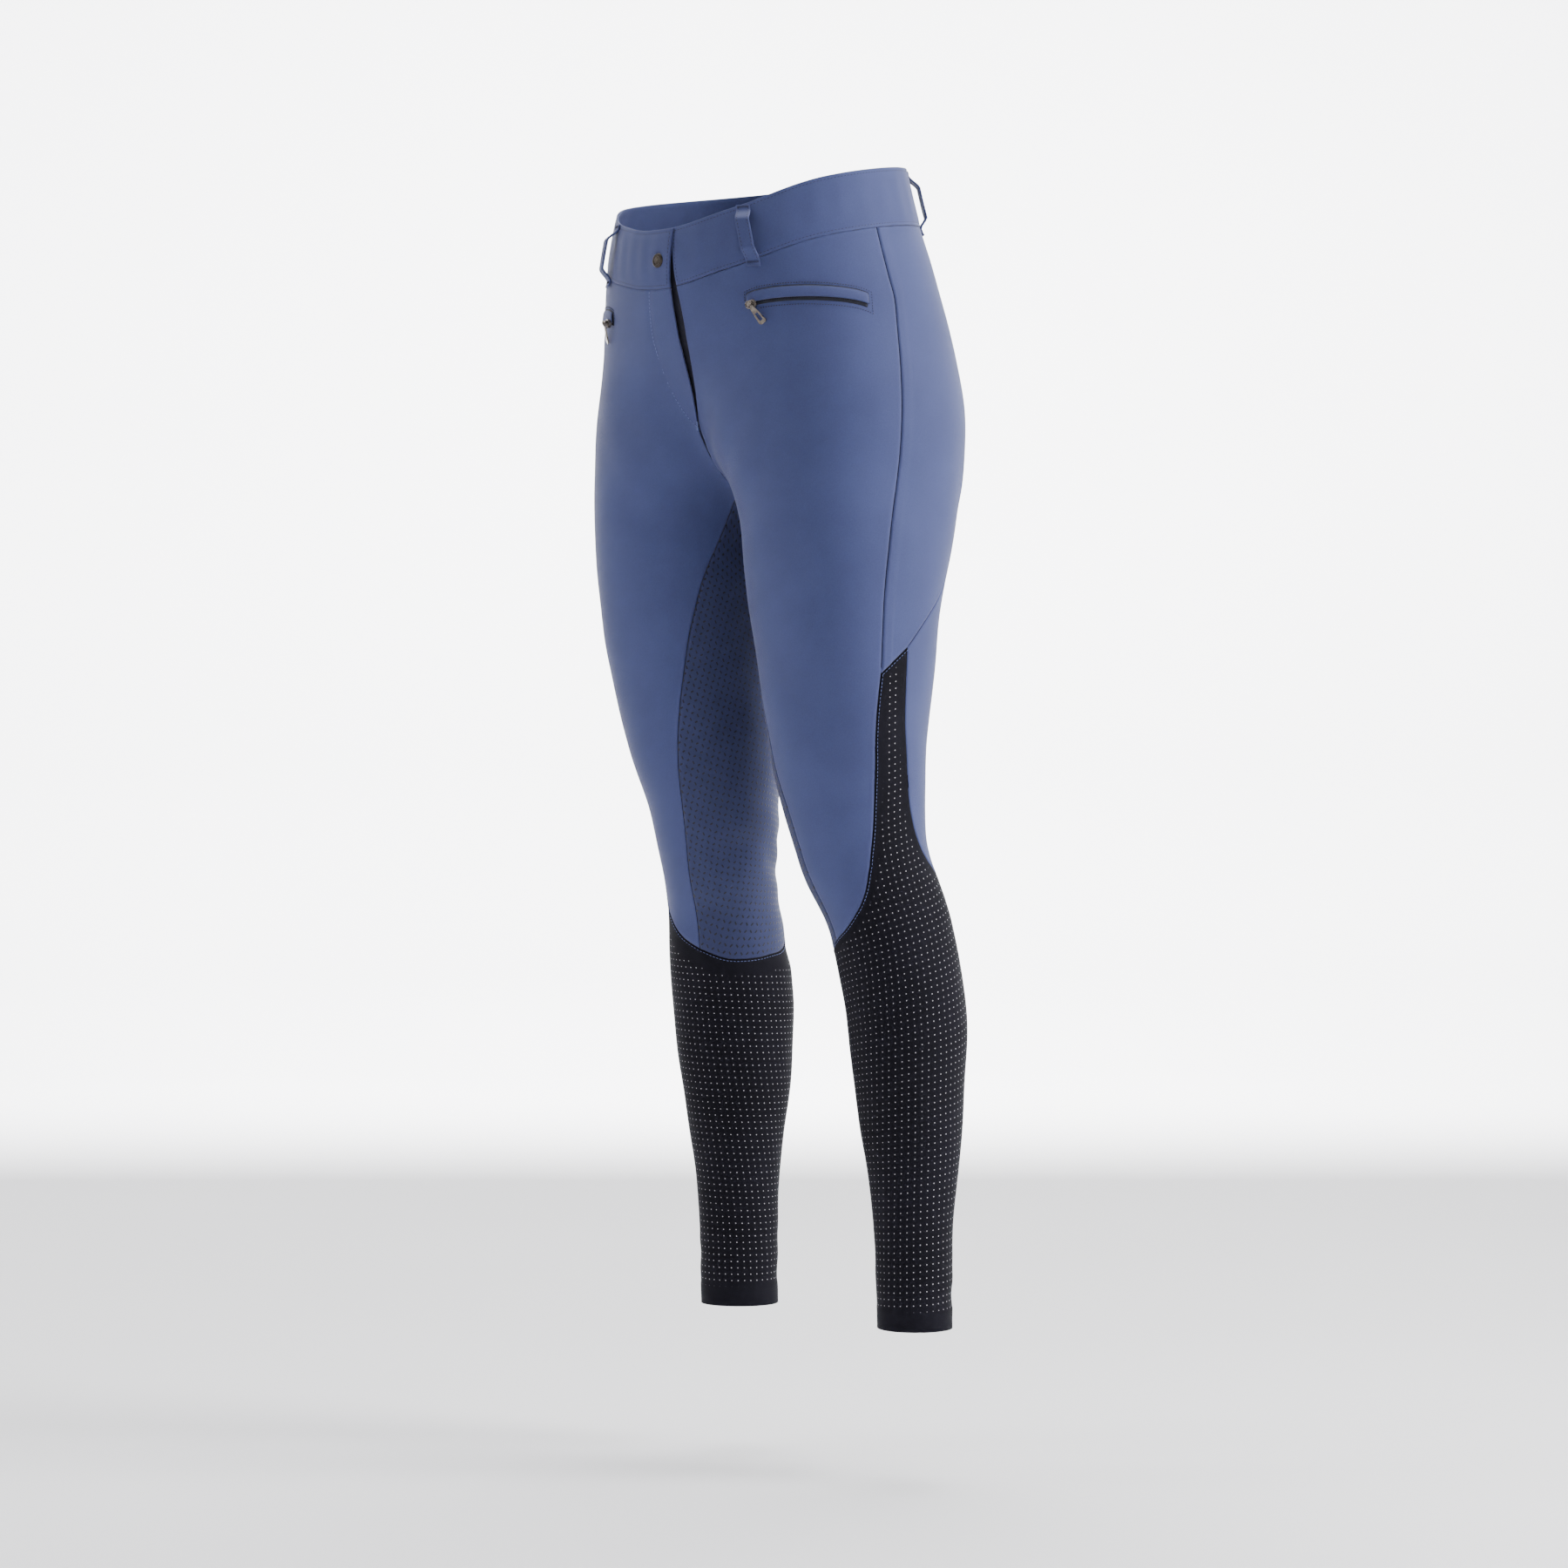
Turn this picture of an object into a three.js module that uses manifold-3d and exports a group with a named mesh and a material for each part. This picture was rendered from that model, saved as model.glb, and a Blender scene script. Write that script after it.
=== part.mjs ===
// Full-seat riding breeches, an empty garment in the shape that it has when worn.
// Millimetres, +Z up, front towards -Y, the garment's left side towards +X.
// The origin is the middle of the waist, level with the waistband at the sides.
import * as THREE from 'three';
import { mergeVertices } from 'three/addons/utils/BufferGeometryUtils.js';
import Module from 'manifold-3d';

const wasm = await Module();
wasm.setup();

// Driving sizes
const TWILL = 1.5;
const MESH_CLOTH = 1.2;
const BAND_CLOTH = 2.4;
const BAND_PROUD = 0.5;
const BAND_HEIGHT = 48;
const SEAM_GAP = 0.3;
const HEM_HEIGHT = -927;
const KNEE_LEVEL = -645;
const CALF_LEVEL = -672;
const RIGHT_KNEE_DROP = 12;

// Level sections through one leg and its half of the body: where the section's middle lies,
// its reach to the outside, inside, front and back, and how far it is turned, in degrees.
const SECTION_COLUMNS = ['height', 'x', 'y', 'outer', 'inner', 'front', 'back'];
const SECTIONS = [
  [60, 20, 6, 105, 90, 86, 84],
  [0, 22, 5, 114, 92, 94, 97],
  [-60, 27, 11, 124, 96, 108, 106],
  [-120, 39, 18, 124, 99, 110, 112],
  [-160, 56, 18, 116, 97, 104, 111],
  [-205, 69, 17, 108, 90, 100, 107],
  [-250, 86, 15, 88, 80, 94, 97],
  [-300, 91, 11, 82, 79, 84, 84],
  [-350, 93, 9, 75, 75, 75, 75],
  [-400, 91, 12, 70, 69, 69, 70],
  [-450, 88, 17, 64, 64, 64, 64],
  [-490, 85.5, 24, 60, 60, 57, 57],
  [-530, 87.5, 32, 55, 55, 52, 52],
  [-560, 93, 40, 54.5, 54.5, 48, 48],
  [-590, 99.5, 51, 52, 52, 48, 48],
  [-620, 103, 58, 51, 51, 51, 51],
  [-660, 105.5, 65.5, 50, 50, 52, 52],
  [-700, 106, 68.5, 48, 48, 50.5, 50.5],
  [-740, 106, 70.5, 44.5, 44.5, 46.5, 46.5],
  [-780, 107, 72, 40, 40, 40.5, 40.5],
  [-820, 107, 73, 35, 35, 36, 36],
  [-930, 107, 75, 31, 31, 33, 33],
];
const TURN = [[60, 0], [-400, 0], [-450, 45], [-930, 45]];
const ROUNDNESS = 2.1;

// How softly the two halves run into each other: height, at the front, at the back.
const SOFT_COLUMNS = ['height', 'front', 'back'];
const SOFTNESS = [
  [60, 100, 70],
  [-60, 100, 70],
  [-120, 90, 60],
  [-160, 60, 53],
  [-200, 36, 46],
  [-250, 40, 40],
  [-300, 25, 25],
  [-400, 10, 10],
  [-1000, 10, 10],
];

// How steeply the rays that find the cloth fall away from the middle of a section.
const TILT = [
  [60, 0], [-60, 0], [-120, 0.3], [-188, 0.7], [-260, 0.55], [-360, 0.2], [-450, 0], [-930, 0],
];

// The top edge of the waistband: angle round the waist from the front, height.
const WAIST_Y = 8;
const BAND_TOP = [
  [-30, -30], [0, -30.5], [17, -27], [27, -22], [36, -17.4], [45, -11.3], [55, -3], [65, 4.4],
  [75, 10], [87, 15.6], [105, 22], [140, 28], [180, 30],
];

// Seams of one leg as angle round the leg (0 front, 90 outside) and height.
const SIDE_SEAM_WAIST = 85;
const BACK_SEAM_WAIST = 138;
const SIDE_SEAM = [
  [84, -57], [82.5, -80], [80.5, -130], [78, -165], [76, -200],
  [74.5, -243], [71.5, -290], [69.7, -337], [69, -392],
];
const WEDGE_FRONT = [
  [69, -392], [67, -420], [66.2, -442], [66, -474], [62.7, -507], [58.4, -525.6], [51, -546],
];
const KNEE_FRONT = [[51, -546], [40.6, -563], [28, -576.4], [15, -587], [0, -598], [-20, -608]];
const WEDGE_TOP = [[69, -392], [78, -382], [88.5, -371]];
const BACK_SEAM = [
  [142, -60], [137, -108], [137, -180], [140, -235], [139, -280],
  [135, -305], [122, -327], [103, -351], [88.5, -371],
];
const WEDGE_BACK = [
  [88.5, -371], [89, -398], [90.4, -429], [93.6, -462], [96.5, -487],
  [100.2, -507], [106, -525], [118, -543], [150, -562],
];
const KNEE_BACK = [
  [150, -562], [180, -578], [205, -592], [225, -602], [250, -610],
  [270, -613], [290, -616], [315, -616], [340, -608],
];
// The inner seam starts at the rise, under the crotch, so it is given by level instead of height.
const INNER_SEAM = [
  [-56.6, -226], [-54, -252], [-50.7, -284], [-47.4, -327], [-42.8, -368], [-35.7, -408],
  [-30, -440], [-25, -469], [-21, -498], [-19.5, -533], [-20.5, -572], [-20, -611],
];

// The rise lies in the middle plane. Its points are found from this middle, by angle.
const RISE_MIDDLE = { y: 12, z: -60 };
const FLY_END_ANGLE = 59;
const INNER_SEAM_ANGLE = 79;
const FLY_END_HEIGHT = -189;
const LEFT_FLY_EDGE = 16;
const RIGHT_FLY_EDGE = -8;
const FLY_BOW = 0.7;
// About how far the front of the waist lies ahead of its middle.
const WAIST_FRONT = 110;

// Number of steps along each seam. Neighbours share them, so their edges match.
const STEPS = {
  frontTop: 8, sideTop: 6, seatTop: 12, sideSeam: 16, wedgeFront: 8, wedgeBack: 14,
  fly: 4, frontRise: 3, backRise: 13, innerSeam: 17, calfRound: 24, calfDown: 12, wedgeDown: 5,
};

const BLUE = { color: 0x59668f, roughness: 0.8, metalness: 0 };
const DARK_BLUE = { color: 0x343a5c, roughness: 0.6, metalness: 0 };
const BLACK_MESH = { color: 0x17161c, roughness: 0.85, metalness: 0 };
const NAVY_TAPE = { color: 0x12131d, roughness: 0.8, metalness: 0 };
const SILVER = { color: 0xb9b4ac, roughness: 0.3, metalness: 1 };
const BRONZE = { color: 0x4a4238, roughness: 0.35, metalness: 1 };

// How the rays that find the cloth are followed.
const RAY_STEP = 5;
const RAY_END = 400;
const RAY_HALVINGS = 22;
const LEVEL_RANGE = [-1000, 100];
const LEVEL_HALVINGS = 44;
const CURVE_SAMPLES = 24;

const group = new THREE.Group();
const radians = THREE.MathUtils.degToRad;

// Tables

function columnTable(columns, rows, curve) {
  const heights = rows.map((row) => row[0]);
  const valuesOf = (column) => rows.map((row) => row[column]);
  return Object.fromEntries(columns.map((name, i) => [name, curve(heights, valuesOf(i))]));
}

function straight(xs, ys) {
  const order = xs.map((x, i) => [x, ys[i]]).sort((a, b) => a[0] - b[0]);
  return (x) => {
    if (x <= order[0][0]) return order[0][1];
    for (let i = 1; i < order.length; i += 1) {
      const [[x0, y0], [x1, y1]] = [order[i - 1], order[i]];
      if (x <= x1) return y0 + ((y1 - y0) * (x - x0)) / (x1 - x0);
    }
    return order[order.length - 1][1];
  };
}

// A natural cubic spline through the points. Beyond them the end values hold.
function smooth(xs, ys) {
  const points = xs.map((x, i) => [x, ys[i]]).sort((a, b) => a[0] - b[0]);
  const n = points.length;
  const step = points.slice(1).map((point, i) => point[0] - points[i][0]);
  const diagonal = new Array(n).fill(1);
  const right = new Array(n).fill(0);
  const upper = new Array(n).fill(0);
  for (let i = 1; i < n - 1; i += 1) {
    const slopeAfter = (points[i + 1][1] - points[i][1]) / step[i];
    const slopeBefore = (points[i][1] - points[i - 1][1]) / step[i - 1];
    const factor = step[i - 1] / diagonal[i - 1];
    diagonal[i] = 2 * (step[i - 1] + step[i]) - (i > 1 ? factor * upper[i - 1] : 0);
    right[i] = 6 * (slopeAfter - slopeBefore) - (i > 1 ? factor * right[i - 1] : 0);
    upper[i] = step[i];
  }
  const bend = new Array(n).fill(0);
  for (let i = n - 2; i > 0; i -= 1) bend[i] = (right[i] - upper[i] * bend[i + 1]) / diagonal[i];
  return (value) => {
    const x = Math.min(Math.max(value, points[0][0]), points[n - 1][0]);
    let i = 0;
    while (i < n - 2 && x > points[i + 1][0]) i += 1;
    const [a, b, h] = [points[i + 1][0] - x, x - points[i][0], step[i]];
    return (bend[i] * a ** 3 + bend[i + 1] * b ** 3) / (6 * h)
      + (points[i][1] / h - (bend[i] * h) / 6) * a
      + (points[i + 1][1] / h - (bend[i + 1] * h) / 6) * b;
  };
}

const section = columnTable(SECTION_COLUMNS, SECTIONS, smooth);
const softness = columnTable(SOFT_COLUMNS, SOFTNESS, straight);
const turnAt = straight(TURN.map((row) => row[0]), TURN.map((row) => row[1]));
const tiltAt = smooth(TILT.map((row) => row[0]), TILT.map((row) => row[1]));
const bandTopAt = smooth(BAND_TOP.map((row) => row[0]), BAND_TOP.map((row) => row[1]));
const bandSeamAt = (angle) => bandTopAt(angle) - BAND_HEIGHT;

// The worn form: two halves run softly into one. Below 0 is inside it.

function halfForm(x, y, z) {
  const turn = radians(turnAt(z));
  const [ex, ey] = [x - section.x(z), y - section.y(z)];
  const across = ex * Math.cos(turn) + ey * Math.sin(turn);
  const along = ey * Math.cos(turn) - ex * Math.sin(turn);
  const reachX = across > 0 ? section.outer(z) : section.inner(z);
  const reachY = along < 0 ? section.front(z) : section.back(z);
  const sum = Math.abs(across / reachX) ** ROUNDNESS + Math.abs(along / reachY) ** ROUNDNESS;
  return Math.hypot(ex, ey) * (1 - 1 / Math.max(sum ** (1 / ROUNDNESS), 1e-6));
}

function form(x, y, z) {
  const [left, right] = [halfForm(x, y, z), halfForm(-x, y, z)];
  const backward = THREE.MathUtils.smoothstep(y - section.y(z), -60, 60);
  const reach = softness.front(z) * (1 - backward) + softness.back(z) * backward;
  const blend = Math.max(reach - Math.abs(left - right), 0) / reach;
  return Math.min(left, right) - (blend ** 3 * reach) / 6;
}

// Follows a ray outwards to where it first leaves the form.
function crossing(start, direction) {
  const outside = (distance) => {
    const p = start.clone().addScaledVector(direction, distance);
    return form(p.x, p.y, p.z) > 0;
  };
  let high = RAY_STEP;
  while (high < RAY_END && !outside(high)) high += RAY_STEP;
  let low = high - RAY_STEP;
  for (let i = 0; i < RAY_HALVINGS; i += 1) {
    const middle = (low + high) / 2;
    if (outside(middle)) high = middle;
    else low = middle;
  }
  return start.clone().addScaledVector(direction, (low + high) / 2);
}

function clothNormal(p) {
  const e = 0.5;
  return new THREE.Vector3(
    form(p.x + e, p.y, p.z) - form(p.x - e, p.y, p.z),
    form(p.x, p.y + e, p.z) - form(p.x, p.y - e, p.z),
    form(p.x, p.y, p.z + e) - form(p.x, p.y, p.z - e),
  ).normalize();
}

// A place on the left half of the cloth is an angle round the leg and a level on the leg's middle.

function clothPoint([angle, level]) {
  const a = radians(angle);
  const middle = new THREE.Vector3(section.x(level), section.y(level), level);
  return crossing(middle, new THREE.Vector3(Math.sin(a), -Math.cos(a), Math.sin(a) * tiltAt(level)));
}

function placeOf(p, likeAngle) {
  let [low, high] = LEVEL_RANGE;
  for (let i = 0; i < LEVEL_HALVINGS; i += 1) {
    const level = (low + high) / 2;
    if (level + (p.x - section.x(level)) * tiltAt(level) > p.z) high = level;
    else low = level;
  }
  const level = (low + high) / 2;
  const angle = THREE.MathUtils.radToDeg(Math.atan2(p.x - section.x(level), section.y(level) - p.y));
  return [angle + 360 * Math.round((likeAngle - angle) / 360), level];
}

function placeAtHeight([angle, height]) {
  let [low, high] = LEVEL_RANGE;
  for (let i = 0; i < LEVEL_HALVINGS; i += 1) {
    const level = (low + high) / 2;
    if (clothPoint([angle, level]).z > height) high = level;
    else low = level;
  }
  return [angle, (low + high) / 2];
}

function waistPoint(angle, height) {
  const a = radians(angle);
  const middle = new THREE.Vector3(0, WAIST_Y, height);
  return crossing(middle, new THREE.Vector3(Math.sin(a), -Math.cos(a), 0));
}

function risePoint(angle) {
  const a = radians(angle);
  const middle = new THREE.Vector3(0, RISE_MIDDLE.y, RISE_MIDDLE.z);
  return crossing(middle, new THREE.Vector3(0, -Math.cos(a), -Math.sin(a)));
}

function frontPoint(x, height) {
  return crossing(new THREE.Vector3(x, WAIST_Y, height), new THREE.Vector3(0, -1, 0));
}

// Seams

function kneeDrop(side, height) {
  return side === 'right' ? RIGHT_KNEE_DROP * THREE.MathUtils.smoothstep(-height, 440, 590) : 0;
}

function seamPlaces(side, rows) {
  return rows.map(([angle, height]) => placeAtHeight([angle, height - kneeDrop(side, height)]));
}

// Splits a curve through the places into even steps along the cloth.
function evenSteps(places, steps) {
  const knots = places.map(([angle, level]) => new THREE.Vector3(angle, level, 0));
  const curve = new THREE.CatmullRomCurve3(knots, false, 'centripetal');
  const samples = curve.getPoints(CURVE_SAMPLES * steps).map((p) => [p.x, p.y]);
  const points = samples.map(clothPoint);
  const lengths = [0];
  points.slice(1).forEach((p, i) => lengths.push(lengths[i] + p.distanceTo(points[i])));
  const total = lengths[lengths.length - 1];
  const result = [];
  for (let step = 0; step <= steps; step += 1) {
    const target = (total * step) / steps;
    let i = 1;
    while (i < lengths.length - 1 && lengths[i] < target) i += 1;
    const t = (target - lengths[i - 1]) / (lengths[i] - lengths[i - 1] || 1);
    result.push([0, 1].map((k) => THREE.MathUtils.lerp(samples[i - 1][k], samples[i][k], t)));
  }
  return result;
}

const join = (...parts) => parts.flatMap((part, i) => (i ? part.slice(1) : part));

function waistAngles(from, to, steps) {
  return Array.from({ length: steps + 1 }, (_, i) => from + ((to - from) * i) / steps);
}

function waistPlaces(angles) {
  return angles.map((angle) => placeOf(waistPoint(angle, bandSeamAt(angle)), angle));
}

const angleAtX = (x) => THREE.MathUtils.radToDeg(Math.atan2(x, WAIST_FRONT + WAIST_Y));

// Every seam of one half, from the waist down.
function halfSeams(side) {
  const flyEdge = side === 'left' ? LEFT_FLY_EDGE : RIGHT_FLY_EDGE;
  const frontAngles = waistAngles(angleAtX(flyEdge), SIDE_SEAM_WAIST, STEPS.frontTop);
  const sideAngles = waistAngles(SIDE_SEAM_WAIST, BACK_SEAM_WAIST, STEPS.sideTop);
  const seatAngles = waistAngles(BACK_SEAM_WAIST, 180, STEPS.seatTop);
  const [frontTop, sideTop, seatTop] = [frontAngles, sideAngles, seatAngles].map(waistPlaces);
  const flyTop = clothPoint(frontTop[0]);
  const flyHeights = waistAngles(flyTop.z, FLY_END_HEIGHT, STEPS.fly).slice(1, -1);
  const flyEdgeAt = (z) => flyTop.x * ((z - FLY_END_HEIGHT) / (flyTop.z - FLY_END_HEIGHT)) ** FLY_BOW;
  const fly = [frontTop[0], ...flyHeights.map((z) => placeOf(frontPoint(flyEdgeAt(z), z), 0))];
  const riseAngles = (from, to, steps) => waistAngles(from, to, steps).map((angle) => risePoint(angle));
  const frontRise = riseAngles(FLY_END_ANGLE, INNER_SEAM_ANGLE, STEPS.frontRise)
    .map((p) => placeOf(p, -30));
  const start = frontRise[frontRise.length - 1];
  const backTop = waistPoint(180, bandSeamAt(180));
  const topSlope = Math.atan2(backTop.z - RISE_MIDDLE.z, backTop.y - RISE_MIDDLE.y);
  const topAngle = 180 + THREE.MathUtils.radToDeg(topSlope);
  const backRise = riseAngles(topAngle, INNER_SEAM_ANGLE, STEPS.backRise)
    .map((p) => placeOf(p, 270));
  const kneeFront = evenSteps(seamPlaces(side, KNEE_FRONT), STEPS.frontTop);
  const innerPlaces = INNER_SEAM.slice(0, -1)
    .map(([angle, level]) => [angle, level - kneeDrop(side, level)]);
  return {
    side,
    bandAngles: join(frontAngles, sideAngles, seatAngles),
    frontTop,
    sideTop,
    seatTop,
    fly: [...fly, ...frontRise],
    backRise,
    sideSeam: evenSteps([sideTop[0], ...seamPlaces(side, SIDE_SEAM)], STEPS.sideSeam),
    backSeam: evenSteps([seatTop[0], ...seamPlaces(side, BACK_SEAM)], STEPS.sideSeam),
    innerSeam: evenSteps([start, ...innerPlaces, kneeFront[kneeFront.length - 1]], STEPS.innerSeam),
    wedgeFront: evenSteps(seamPlaces(side, WEDGE_FRONT), STEPS.wedgeFront),
    wedgeTop: evenSteps(seamPlaces(side, WEDGE_TOP), STEPS.sideTop),
    wedgeBack: evenSteps(seamPlaces(side, WEDGE_BACK), STEPS.wedgeBack),
    kneeFront,
    kneeBack: evenSteps(seamPlaces(side, KNEE_BACK), STEPS.seatTop),
  };
}

// Walls

// Gives a sheet of triangles its thickness: the cloth's outer face lies at lift, and its wall
// reaches inwards from there. Open edges are drawn in by half the seam gap and closed.
function wall({ points, normals, triangles }, lift, thickness, inset = SEAM_GAP / 2) {
  const open = new Map();
  triangles.forEach(([a, b, c]) => [[a, b], [b, c], [c, a]].forEach(([i, j]) => {
    open.set(`${i},${j}`, [i, j]);
  }));
  const edges = [...open.values()].filter(([i, j]) => !open.has(`${j},${i}`));
  const inward = points.map(() => []);
  edges.forEach(([i, j]) => {
    const along = points[j].clone().sub(points[i]);
    [i, j].forEach((k) => inward[k].push(normals[k].clone().cross(along).normalize()));
  });
  const placed = points.map((p, k) => {
    if (inward[k].length < 2) return p.clone();
    const [a, b] = inward[k];
    return p.clone().addScaledVector(a.clone().add(b), inset / (1 + a.dot(b)));
  });
  const outer = placed.map((p, k) => p.clone().addScaledVector(normals[k], lift));
  const inner = placed.map((p, k) => p.clone().addScaledVector(normals[k], lift - thickness));
  const n = points.length;
  const faces = [
    ...triangles,
    ...triangles.map(([a, b, c]) => [a + n, c + n, b + n]),
    ...edges.flatMap(([i, j]) => [[i, i + n, j + n], [i, j + n, j]]),
  ];
  return closedGeometry([...outer, ...inner], faces);
}

function closedGeometry(points, faces) {
  const geometry = new THREE.BufferGeometry();
  const positions = points.flatMap((p) => p.toArray());
  geometry.setAttribute('position', new THREE.Float32BufferAttribute(positions, 3));
  geometry.setIndex(faces.flat());
  return geometry;
}

// Two triangles for each cell of a grid of rows, with the shorter diagonal.
function gridTriangles(points, rows, columns, closed = false) {
  const at = (r, c) => r * (closed ? columns : columns + 1) + (closed ? c % columns : c);
  const triangles = [];
  for (let r = 0; r < rows; r += 1) {
    for (let c = 0; c < columns; c += 1) {
      const [a, b, d, e] = [at(r, c), at(r, c + 1), at(r + 1, c), at(r + 1, c + 1)];
      const shorter = points[a].distanceTo(points[e]) < points[b].distanceTo(points[d]);
      triangles.push(...(shorter ? [[a, d, e], [a, e, b]] : [[a, d, b], [b, d, e]]));
    }
  }
  return triangles;
}

const sheetOf = (points, rows, columns) => (
  { points, normals: points.map(clothNormal), triangles: gridTriangles(points, rows, columns) }
);

// A panel between four seams, worked out on the cloth's own angles and levels.
function panelSheet(top, bottom, start, end) {
  const [rows, columns] = [start.length - 1, top.length - 1];
  const points = [];
  for (let r = 0; r <= rows; r += 1) {
    for (let c = 0; c <= columns; c += 1) {
      const [u, v] = [c / columns, r / rows];
      const place = [0, 1].map((k) => (1 - v) * top[c][k] + v * bottom[c][k]
        + (1 - u) * start[r][k] + u * end[r][k]
        - (1 - u) * (1 - v) * top[0][k] - u * (1 - v) * top[columns][k]
        - (1 - u) * v * bottom[0][k] - u * v * bottom[columns][k]);
      points.push(clothPoint(place));
    }
  }
  return sheetOf(points, rows, columns);
}

// Makes a half's geometry real: the right half is the left one's mirror image.
function add(name, side, geometry, finish) {
  const shape = geometry.clone();
  shape.deleteAttribute('normal');
  if (side === 'right') {
    shape.scale(-1, 1, 1);
    const index = shape.index.array;
    for (let i = 0; i < index.length; i += 3) {
      [index[i + 1], index[i + 2]] = [index[i + 2], index[i + 1]];
    }
  }
  shape.computeVertexNormals();
  const mesh = new THREE.Mesh(shape, new THREE.MeshStandardMaterial(finish));
  mesh.name = name;
  group.add(mesh);
}

// Panels of twill

function addPanels(seams) {
  const { side } = seams;
  const front = panelSheet(
    seams.frontTop,
    [...seams.kneeFront].reverse(),
    [...seams.fly, ...seams.innerSeam.slice(1)],
    join(seams.sideSeam, seams.wedgeFront),
  );
  const hip = panelSheet(seams.sideTop, seams.wedgeTop, seams.sideSeam, seams.backSeam);
  const innerTurned = seams.innerSeam.map(([angle, level]) => [angle + 360, level]);
  const seat = panelSheet(
    seams.seatTop,
    seams.kneeBack,
    join(seams.backSeam, seams.wedgeBack),
    join(seams.backRise, innerTurned),
  );
  add(`front_${side}`, side, wall(front, 0, TWILL), BLUE);
  add(`side_${side}`, side, wall(hip, 0, TWILL), BLUE);
  add(`seat_${side}`, side, wall(seat, 0, TWILL), DARK_BLUE);
}

// The mesh leg: its upper edge is the whole ring of seams, wedge and all. Below the knee
// the ring changes to fewer, even steps down to the hem.
// Each point of that ring goes down to its own angle: number of the point, angle.
const KNEE_RING = [[0, -20], [8, 51], [16, 72], [22, 86], [36, 150], [48, 340]];
const RING_START = -20;

function meshSheet(seams) {
  const reversed = (list) => [...list].reverse();
  const ring = join(
    reversed(seams.kneeFront),
    reversed(seams.wedgeFront),
    seams.wedgeTop,
    seams.wedgeBack,
    seams.kneeBack,
  ).slice(0, -1);
  const kneeAngle = straight(KNEE_RING.map((row) => row[0]), KNEE_RING.map((row) => row[1]));
  const rows = [];
  for (let r = 0; r <= STEPS.wedgeDown; r += 1) {
    const t = r / STEPS.wedgeDown;
    rows.push(...ring.map(([angle, level], i) => clothPoint([
      THREE.MathUtils.lerp(angle, kneeAngle(i), t), THREE.MathUtils.lerp(level, KNEE_LEVEL, t),
    ])));
  }
  const upper = gridTriangles(rows, STEPS.wedgeDown, ring.length, true);
  const calf = [];
  const calfAngle = (c) => RING_START + (360 * c) / STEPS.calfRound;
  for (let r = 0; r <= STEPS.calfDown; r += 1) {
    const level = THREE.MathUtils.lerp(CALF_LEVEL, HEM_HEIGHT, r / STEPS.calfDown);
    for (let c = 0; c < STEPS.calfRound; c += 1) calf.push(clothPoint([calfAngle(c), level]));
  }
  const offset = rows.length;
  const lower = gridTriangles(calf, STEPS.calfDown, STEPS.calfRound, true)
    .map((triangle) => triangle.map((i) => i + offset));
  const points = [...rows, ...calf];
  const upperRing = ring.map((_, i) => STEPS.wedgeDown * ring.length + i);
  const lowerRing = Array.from({ length: STEPS.calfRound }, (_, i) => offset + i);
  const angles = [
    upperRing.map((_, i) => kneeAngle(i) - RING_START),
    lowerRing.map((_, i) => calfAngle(i) - RING_START),
  ];
  const triangles = [...upper, ...stitchRings(upperRing, lowerRing, angles), ...lower];
  return { points, normals: points.map(clothNormal), triangles };
}

// Joins two rings of different step counts with one row of triangles.
function stitchRings(upper, lower, [upperAngles, lowerAngles]) {
  const triangles = [];
  let [i, j] = [0, 0];
  while (i < upper.length || j < lower.length) {
    const nextUpper = i + 1 < upper.length ? upperAngles[i + 1] : 360;
    const nextLower = j + 1 < lower.length ? lowerAngles[j + 1] : 360;
    const [a, b] = [upper[i % upper.length], lower[j % lower.length]];
    if (j >= lower.length || (i < upper.length && nextUpper <= nextLower)) {
      triangles.push([a, b, upper[(i + 1) % upper.length]]);
      i += 1;
    } else {
      triangles.push([a, b, lower[(j + 1) % lower.length]]);
      j += 1;
    }
  }
  return triangles;
}

// Waistband

const BAND_ROWS = 2;

function bandSheet(angles) {
  const points = [];
  for (let r = 0; r <= BAND_ROWS; r += 1) {
    const below = (BAND_HEIGHT * r) / BAND_ROWS;
    points.push(...angles.map((angle) => waistPoint(angle, bandTopAt(angle) - below)));
  }
  return sheetOf(points, BAND_ROWS, angles.length - 1);
}

// Belt loops: a folded strip, tacked at its top and bottom, standing off the band between.

const LOOP = { width: 12, cloth: 1.6, above: -1, below: 6, steps: 12, clear: 7.6, rest: 0.35 };
// Where, along a loop, it rises off the band and where it comes back: two pairs of parts of it.
const LOOP_RISE = { top: [0.06, 0.26], bottom: [0.08, 0.3] };
const LOOPS = [
  { name: 'loop_front_left', side: 'left', top: 38.5, bottom: 43 },
  { name: 'loop_front_right', side: 'right', top: 38.5, bottom: 43 },
  { name: 'loop_back_left', side: 'left', top: 127, bottom: 127 },
  { name: 'loop_back_right', side: 'right', top: 127, bottom: 127 },
  { name: 'loop_centre_back', side: 'left', top: 180, bottom: 180 },
];

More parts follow.
